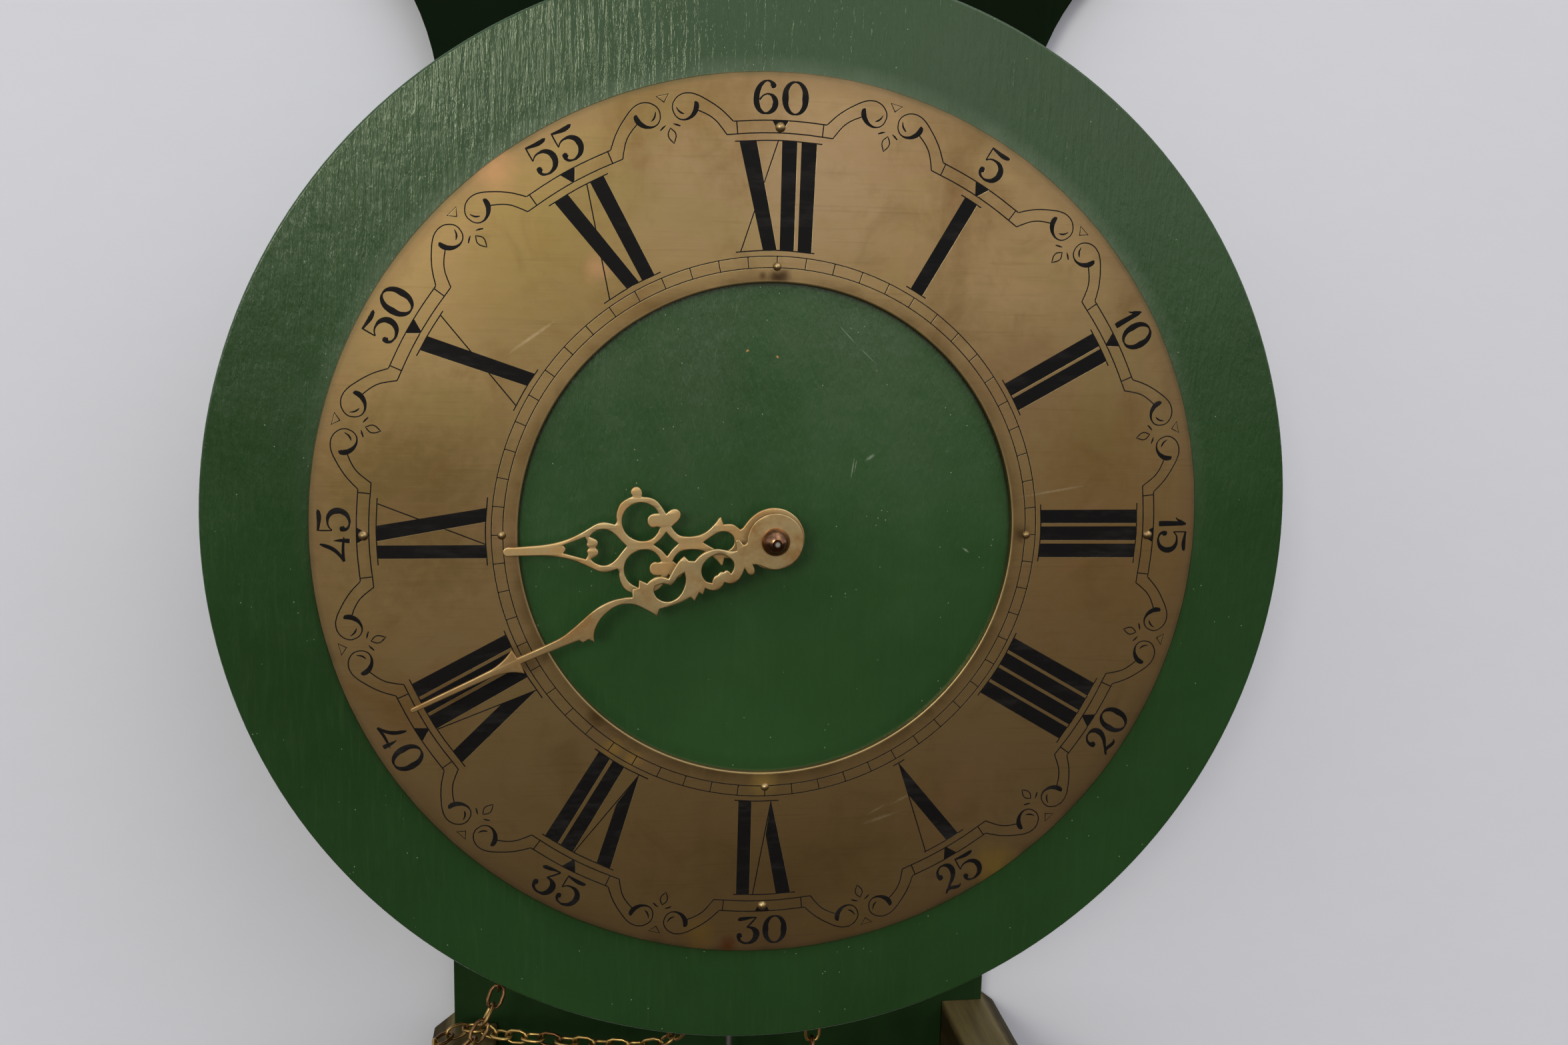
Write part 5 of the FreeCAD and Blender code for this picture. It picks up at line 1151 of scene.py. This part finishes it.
class CLOCK_OT_border(bpy.types.Operator):
    """Lays the wax of the arched border with its scrolls and leaves, and of the minute track"""

    bl_idname = "clock.border"
    bl_label = "Border and minute track"

    def execute(self, context):
        wax = Engraving(context.scene.clock_sizes.wax_height)
        for hour in range(12):
            angle = HOUR_STEP * hour
            between = angle + 0.5 * HOUR_STEP
            wax.stroke(arc_points(BAND_OUTER, -BAND_OUTER_SPAN, BAND_OUTER_SPAN, 4, LINE), angle)
            wax.stroke(arc_points(BAND_INNER, -BAND_INNER_SPAN, BAND_INNER_SPAN, 4, LINE), angle)
            wax.block([(-POINTER_HALF, BAND_OUTER), (POINTER_HALF, BAND_OUTER), (POINTER_TIP, BAND_INNER),
                       (-POINTER_TIP, BAND_INNER)], angle)
            for side in (-1, 1):
                for line in (ARCH_OUTER, ARCH_INNER, SCROLL_COMMA):
                    wax.stroke([(side * u, v, half) for u, v, half in line], angle)
                wax.stroke([(0.0, BAND_INNER, LINE), (0.0, BAND_OUTER, LINE)], angle + side * BAND_TICK,
                           corners=(0, 1), resolution=1)
                wax.stroke([(side * u, v, half) for u, v, half in LEAF_DASH], between)
            wax.stroke(SMALL_TRIANGLE, between, closed=True, corners=(0, 1, 2), resolution=1)
            wax.stroke(LEAF, between, closed=True, corners=(0, 2), resolution=4)
        wax.piece("border_lines")
        self.track(context)
        return {"FINISHED"}

    def track(self, context):
        sizes = context.scene.clock_sizes
        wax = Engraving(sizes.wax_height)
        height = sizes.wax_height / MM
        front = RING_FACE / MM
        for radius in (TRACK_OUTER, TRACK_INNER):
            ring = [(radius - TRACK_LINE, front + height), (radius - TRACK_LINE, front - height),
                    (radius + TRACK_LINE, front - height), (radius + TRACK_LINE, front + height)]
            turn(wax.bm, ring, sizes.round_steps)
        for minute in range(60):
            wax.block([(-TRACK_LINE, TRACK_INNER), (TRACK_LINE, TRACK_INNER), (TRACK_LINE, TRACK_OUTER),
                       (-TRACK_LINE, TRACK_OUTER)], MINUTE_STEP * minute)
        wax.piece("minute_track")


class CLOCK_OT_hands(bpy.types.Operator):
    """Saws the pierced hands from brass sheet and rounds their edges"""

    bl_idname = "clock.hands"
    bl_label = "Hands"

    def execute(self, context):
        edge = context.scene.clock_sizes.hand_edge
        hour = [self.hub(HOUR_HUB, HOUR_HALF[0], -1.0) + self.mirrored(HOUR_HALF)]
        hour += [self.mirrored(half) for half in (HOUR_DROP, HOUR_DIAMOND, HOUR_PEAR, HOUR_WEDGE)]
        hour += [HOUR_LOOP, self.flipped(HOUR_LOOP), self.circle(HOUR_BORE)]
        self.saw("hour_hand", "sawn_hour_hand", hour, HOUR_HAND_ANGLE, edge)
        minute = [MINUTE_OUTLINE + self.hub(MINUTE_HUB, MINUTE_OUTLINE[-1], 1.0), MINUTE_C, MINUTE_BEAN,
                  self.circle(MINUTE_BORE)]
        self.saw("minute_hand", "sawn_minute_hand", minute, MINUTE_HAND_ANGLE, edge)
        return {"FINISHED"}

    def hub(self, radius, corner, side):
        """Round back of a hub from one edge of the hand to the other; side 1 starts above the hand."""
        first = math.atan2(corner[1], corner[0])
        angles = [first + (2 * math.pi - 2 * first) * k / HUB_STEPS for k in range(1, HUB_STEPS)]
        return [(radius * math.cos(angle), side * radius * math.sin(angle)) for angle in angles]

    def circle(self, radius):
        angles = [2 * k * math.pi / HUB_STEPS for k in range(HUB_STEPS)]
        return [(radius * math.cos(angle), radius * math.sin(angle)) for angle in angles]

    def flipped(self, points):
        """The same points on the other side of the middle line."""
        return [(point[0], -point[1], *point[2:]) for point in points]

    def mirrored(self, half):
        """Closed outline from its upper half; points on the middle line aren't doubled."""
        return list(half) + self.flipped(point for point in reversed(half) if point[1] > 0.0)

    def saw(self, node, name, outlines, angle, edge):
        low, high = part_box(node)
        curve = bpy.data.curves.new(name, "CURVE")
        curve.dimensions = "2D"
        curve.fill_mode = "BOTH"
        curve.extrude = (high.y - low.y) / 2 - edge
        curve.bevel_depth = edge
        curve.bevel_resolution = 2
        curve.offset = -edge
        for outline in outlines:
            corners = [index for index, point in enumerate(outline) if len(point) > 2]
            add_spline(curve, [point[:2] for point in outline], True, 5, corners)
        mesh = mesh_of_curve(curve)
        a = math.radians(angle)
        mesh.transform(Matrix(((math.sin(a), math.cos(a), 0, 0), (0, 0, 1, (low.y + high.y) / 2),
                               (math.cos(a), -math.sin(a), 0, 0), (0, 0, 0, 1))))
        bm = bmesh.new()
        bm.from_mesh(mesh)
        bpy.data.meshes.remove(mesh)
        bmesh.ops.remove_doubles(bm, verts=bm.verts, dist=WELD)
        place_piece(name, bm, node, body_of_node(node), (node,), sharp=50.0, flat=True)


class CLOCK_OT_hand_nut(bpy.types.Operator):
    """Turns the domed nut that holds the hands"""

    bl_idname = "clock.hand_nut"
    bl_label = "Hand nut"

    def execute(self, context):
        low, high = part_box("hand_nut")
        front, back, radius = low.y / MM, high.y / MM, high.x / MM
        profile = [(NUT_BORE, back)] + [(out, front + depth) for out, depth in NUT_FRONT]
        profile += [(radius - inset, front + depth) for inset, depth in NUT_RIM]
        profile += [(radius, back - NUT_BACK_EDGE), (radius - NUT_BACK_EDGE, back)]
        bm = bmesh.new()
        turn(bm, profile, NUT_STEPS)
        place_piece("domed_nut", bm, "nut", "minute", ("hand_nut",))
        coat_nodes("stud", "centre_stud")
        return {"FINISHED"}


class CLOCK_OT_chain(bpy.types.Operator):
    """Bends round-wire links and hangs them where the CAD links are"""

    bl_idname = "clock.chain"
    bl_label = "Chain"

    def execute(self, context):
        sizes = context.scene.clock_sizes
        link = self.link(sizes.link_wire)
        shades = random.Random(sizes.tone_seed)
        hook_low, hook_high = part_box("weight_hook")
        fall_middle = 0.5 * (hook_low.x + hook_high.x)
        axis_height = frame_joint("great_turn")["pos_m"][2]
        fall, lead = [], []
        for corners in islands("drive_chain"):
            middle = 0.5 * (corners.min(0) + corners.max(0))
            hangs = abs(middle[0] - fall_middle) < FALL_NEAR and middle[2] < axis_height - FALL_START
            (fall if hangs else lead).append(corners)
        self.hang("sprocket_links", lead, link, shades, ("drive_chain",))
        piece = self.hang("weight_fall_links", fall, link, shades, ("drive_chain",))
        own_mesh(piece)
        self.hang("slack_links", islands("slack_chain"), link, shades, ("slack_chain",))
        coat_nodes("steel", "chain_nail")
        bpy.data.meshes.remove(link)
        return {"FINISHED"}

    def link(self, wire):
        """One link about the origin: its length along X, its width along Y."""
        bm = bmesh.new()
        section = bmesh.ops.create_circle(bm, segments=6, radius=wire / 2)["verts"]
        bmesh.ops.rotate(bm, verts=section, cent=(0, 0, 0), matrix=Matrix.Rotation(math.pi / 2, 3, "Y"))
        bmesh.ops.translate(bm, verts=section, vec=(-LINK_HALF_STRAIGHT, LINK_BEND, 0))
        ring = list(bm.edges)
        for side in (1, -1):
            run = bmesh.ops.extrude_edge_only(bm, edges=ring)["geom"]
            moved = verts_of(run)
            bmesh.ops.translate(bm, verts=moved, vec=(side * 2 * LINK_HALF_STRAIGHT, 0, 0))
            bent = bmesh.ops.spin(bm, geom=moved + edges_of(run), cent=(side * LINK_HALF_STRAIGHT, 0, 0),
                                  axis=(0, 0, -1), dvec=(0, 0, 0), angle=math.pi, steps=4, use_merge=False,
                                  use_normal_flip=False, use_duplicate=False)["geom_last"]
            ring = edges_of(bent)
        bmesh.ops.remove_doubles(bm, verts=bm.verts, dist=WELD)
        mesh = bpy.data.meshes.new("link")
        bm.to_mesh(mesh)
        bm.free()
        return mesh

    def hang(self, name, solids, link, shades, stands_for):
        bm = bmesh.new()
        tone = bm.verts.layers.float.new("tone")
        done = 0
        for corners in solids:
            bm.from_mesh(link)
            bm.verts.ensure_lookup_table()
            new = bm.verts[done:]
            done = len(bm.verts)
            bmesh.ops.transform(bm, matrix=self.place(corners), verts=new)
            shade = shades.random() ** TONE_CURVE
            for vert in new:
                vert[tone] = shade
        return place_piece(name, bm, "chain", "clock", stands_for, sharp=180.0)

    def place(self, corners):
        """Matrix that lays a link on a CAD link, by the three widths of its corner points."""
        middle = 0.5 * (corners.min(0) + corners.max(0))
        spread = corners - corners.mean(0)
        _, ways = np.linalg.eigh(spread.T @ spread)
        along, across = Vector(ways[:, 2]), Vector(ways[:, 1])
        matrix = Matrix((along, across, along.cross(across))).transposed().to_4x4()
        matrix.translation = Vector(middle)
        return matrix


def frame_joint(name):
    for joint in frame["joints"]:
        if joint["name"] == name:
            return joint
    raise RuntimeError("no joint named " + name)


class CLOCK_OT_weight(bpy.types.Operator):
    """Casts the driving weight and bends its hook"""

    bl_idname = "clock.weight"
    bl_label = "Driving weight"

    def execute(self, context):
        low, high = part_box("weight")
        middle = (0.5 * (low.x + high.x), 0.5 * (low.y + high.y), 0.0)
        radius = 0.5 * (high.x - low.x) / MM
        top, foot = high.z / MM, low.z / MM
        edge = context.scene.clock_sizes.weight_shoulder / MM
        upper = [(radius - edge + edge * x, top - edge + edge * y) for x, y in WEIGHT_ROUND]
        lower = [(radius - edge + edge * x, foot + edge - edge * y) for x, y in reversed(WEIGHT_ROUND)]
        profile = [(0.0, top), (WEIGHT_NECK, top)] + upper + lower + [(0.0, foot)]
        bm = bmesh.new()
        turn(bm, profile, WEIGHT_STEPS, middle, "Z", closed=False)
        place_piece("cast_weight", bm, "iron", "driving_weight", ("weight",))
        self.hook(middle)
        return {"FINISHED"}

    def hook(self, middle):
        low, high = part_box("weight_hook")
        bar = 0.5 * (high.y - low.y) / MM
        eye = 0.5 * (high.x - low.x) / MM - bar
        height = high.z - (eye + bar) * MM
        bm = bmesh.new()
        ring = [(eye + bar * math.cos(k * math.pi / 5), bar * math.sin(k * math.pi / 5)) for k in range(10)]
        turn(bm, ring, EYE_STEPS, (middle[0], middle[1], height))
        shank = [(0.0, low.z / MM), (bar, low.z / MM), (bar, height / MM - eye), (0.0, height / MM - eye)]
        turn(bm, shank, SHANK_STEPS, middle, "Z", closed=False)
        place_piece("bent_hook", bm, "steel", "driving_weight", ("weight_hook",))


class CLOCK_OT_pendulum(bpy.types.Operator):
    """Turns the pendulum's lens-shaped bob and finishes its rod, nut and spring"""

    bl_idname = "clock.pendulum"
    bl_label = "Pendulum"

    def execute(self, context):
        low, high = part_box("pendulum_bob")
        middle = 0.5 * (low + high)
        radius, half = 0.5 * (high.x - low.x), 0.5 * (high.y - low.y)
        front = [(radius * out / MM, -half * thick / MM) for out, thick in BOB_LENS]
        profile = front + [(out, -place) for out, place in reversed(front)]
        bm = bmesh.new()
        turn(bm, profile, BOB_STEPS, middle, closed=False)
        place_piece("lens_bob", bm, "bob", "pendulum", ("pendulum_bob",))
        soften_nodes("movement", context.scene.clock_sizes.metal_edge, "filed_", "rating_nut")
        coat_nodes("steel", "pendulum_rod", "suspension_spring")
        return {"FINISHED"}


class CLOCK_OT_movement(bpy.types.Operator):
    """Finishes the plates, wheels and arbors and puts the nuts on the pillars"""

    bl_idname = "clock.movement"
    bl_label = "Movement"

    def execute(self, context):
        edge = context.scene.clock_sizes.metal_edge
        soften_nodes("movement", edge, "filed_", "front_plate", "back_plate", "pillars", "back_cock")
        coat_nodes("movement", "great_wheel", "second_wheel", "third_wheel", "escape_wheel", "cannon_wheel",
                   "hour_wheel", "minute_wheel", "motion_drive_wheel")
        coat_nodes("steel", "great_arbor", "second_arbor", "third_arbor", "escape_arbor", "pallet_arbor",
                   "minute_stud", "chain_sprocket", "ratchet_wheel", "click", "click_spring",
                   "pallet_anchor", "crutch")
        self.nuts()
        return {"FINISHED"}

    def nuts(self):
        bm = bmesh.new()
        plate_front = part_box("front_plate")[0].y
        for corners in islands("pillars"):
            middle = 0.5 * (corners.min(0) + corners.max(0))
            made = bmesh.ops.create_cone(bm, cap_ends=True, segments=6, radius1=PILLAR_NUT_RADIUS,
                                         radius2=PILLAR_NUT_RADIUS, depth=PILLAR_NUT_HEIGHT)["verts"]
            bmesh.ops.rotate(bm, verts=made, cent=(0, 0, 0), matrix=Matrix.Rotation(math.pi / 2, 3, "X"))
            place = (middle[0], plate_front - 0.5 * PILLAR_NUT_HEIGHT, middle[2])
            bmesh.ops.translate(bm, verts=made, vec=place)
        round_off(bm, list(bm.edges), PILLAR_NUT_EDGE, 1)
        place_piece("pillar_nuts", bm, "steel")


class CLOCK_PT_build(bpy.types.Panel):
    """Lists the clock's operators and settings"""

    bl_idname = "CLOCK_PT_build"
    bl_label = "Wall clock"
    bl_space_type = "VIEW_3D"
    bl_region_type = "UI"
    bl_category = "Clock"

    def draw(self, context):
        for operator in OPERATORS:
            self.layout.operator(operator.bl_idname)
        for group in (context.scene.clock_sizes, context.scene.clock_colours):
            box = self.layout.box()
            for name in group.__annotations__:
                box.prop(group, name)


OPERATORS = (CLOCK_OT_stage, CLOCK_OT_boards, CLOCK_OT_dial, CLOCK_OT_chapter_ring, CLOCK_OT_hour_numerals,
             CLOCK_OT_minute_numbers, CLOCK_OT_border, CLOCK_OT_hands, CLOCK_OT_hand_nut, CLOCK_OT_chain,
             CLOCK_OT_weight, CLOCK_OT_pendulum, CLOCK_OT_movement)
CLASSES = (ClockSizes, ClockColours, *OPERATORS, CLOCK_PT_build)


def register():
    for cls in CLASSES:
        bpy.utils.register_class(cls)
    bpy.types.Scene.clock_sizes = PointerProperty(type=ClockSizes)
    bpy.types.Scene.clock_colours = PointerProperty(type=ClockColours)


def unregister():
    del bpy.types.Scene.clock_colours
    del bpy.types.Scene.clock_sizes
    for cls in reversed(CLASSES):
        bpy.utils.unregister_class(cls)


def main():
    register()
    bpy.context.scene.view_settings.view_transform = "Standard"
    bpy.ops.clock.stage()
    bpy.ops.clock.boards()
    bpy.ops.clock.dial()
    bpy.ops.clock.chapter_ring()
    bpy.ops.clock.hour_numerals()
    bpy.ops.clock.minute_numbers()
    bpy.ops.clock.border()
    bpy.ops.clock.hands()
    bpy.ops.clock.hand_nut()
    bpy.ops.clock.chain()
    bpy.ops.clock.weight()
    bpy.ops.clock.pendulum()
    bpy.ops.clock.movement()


if __name__ == "__main__":
    main()
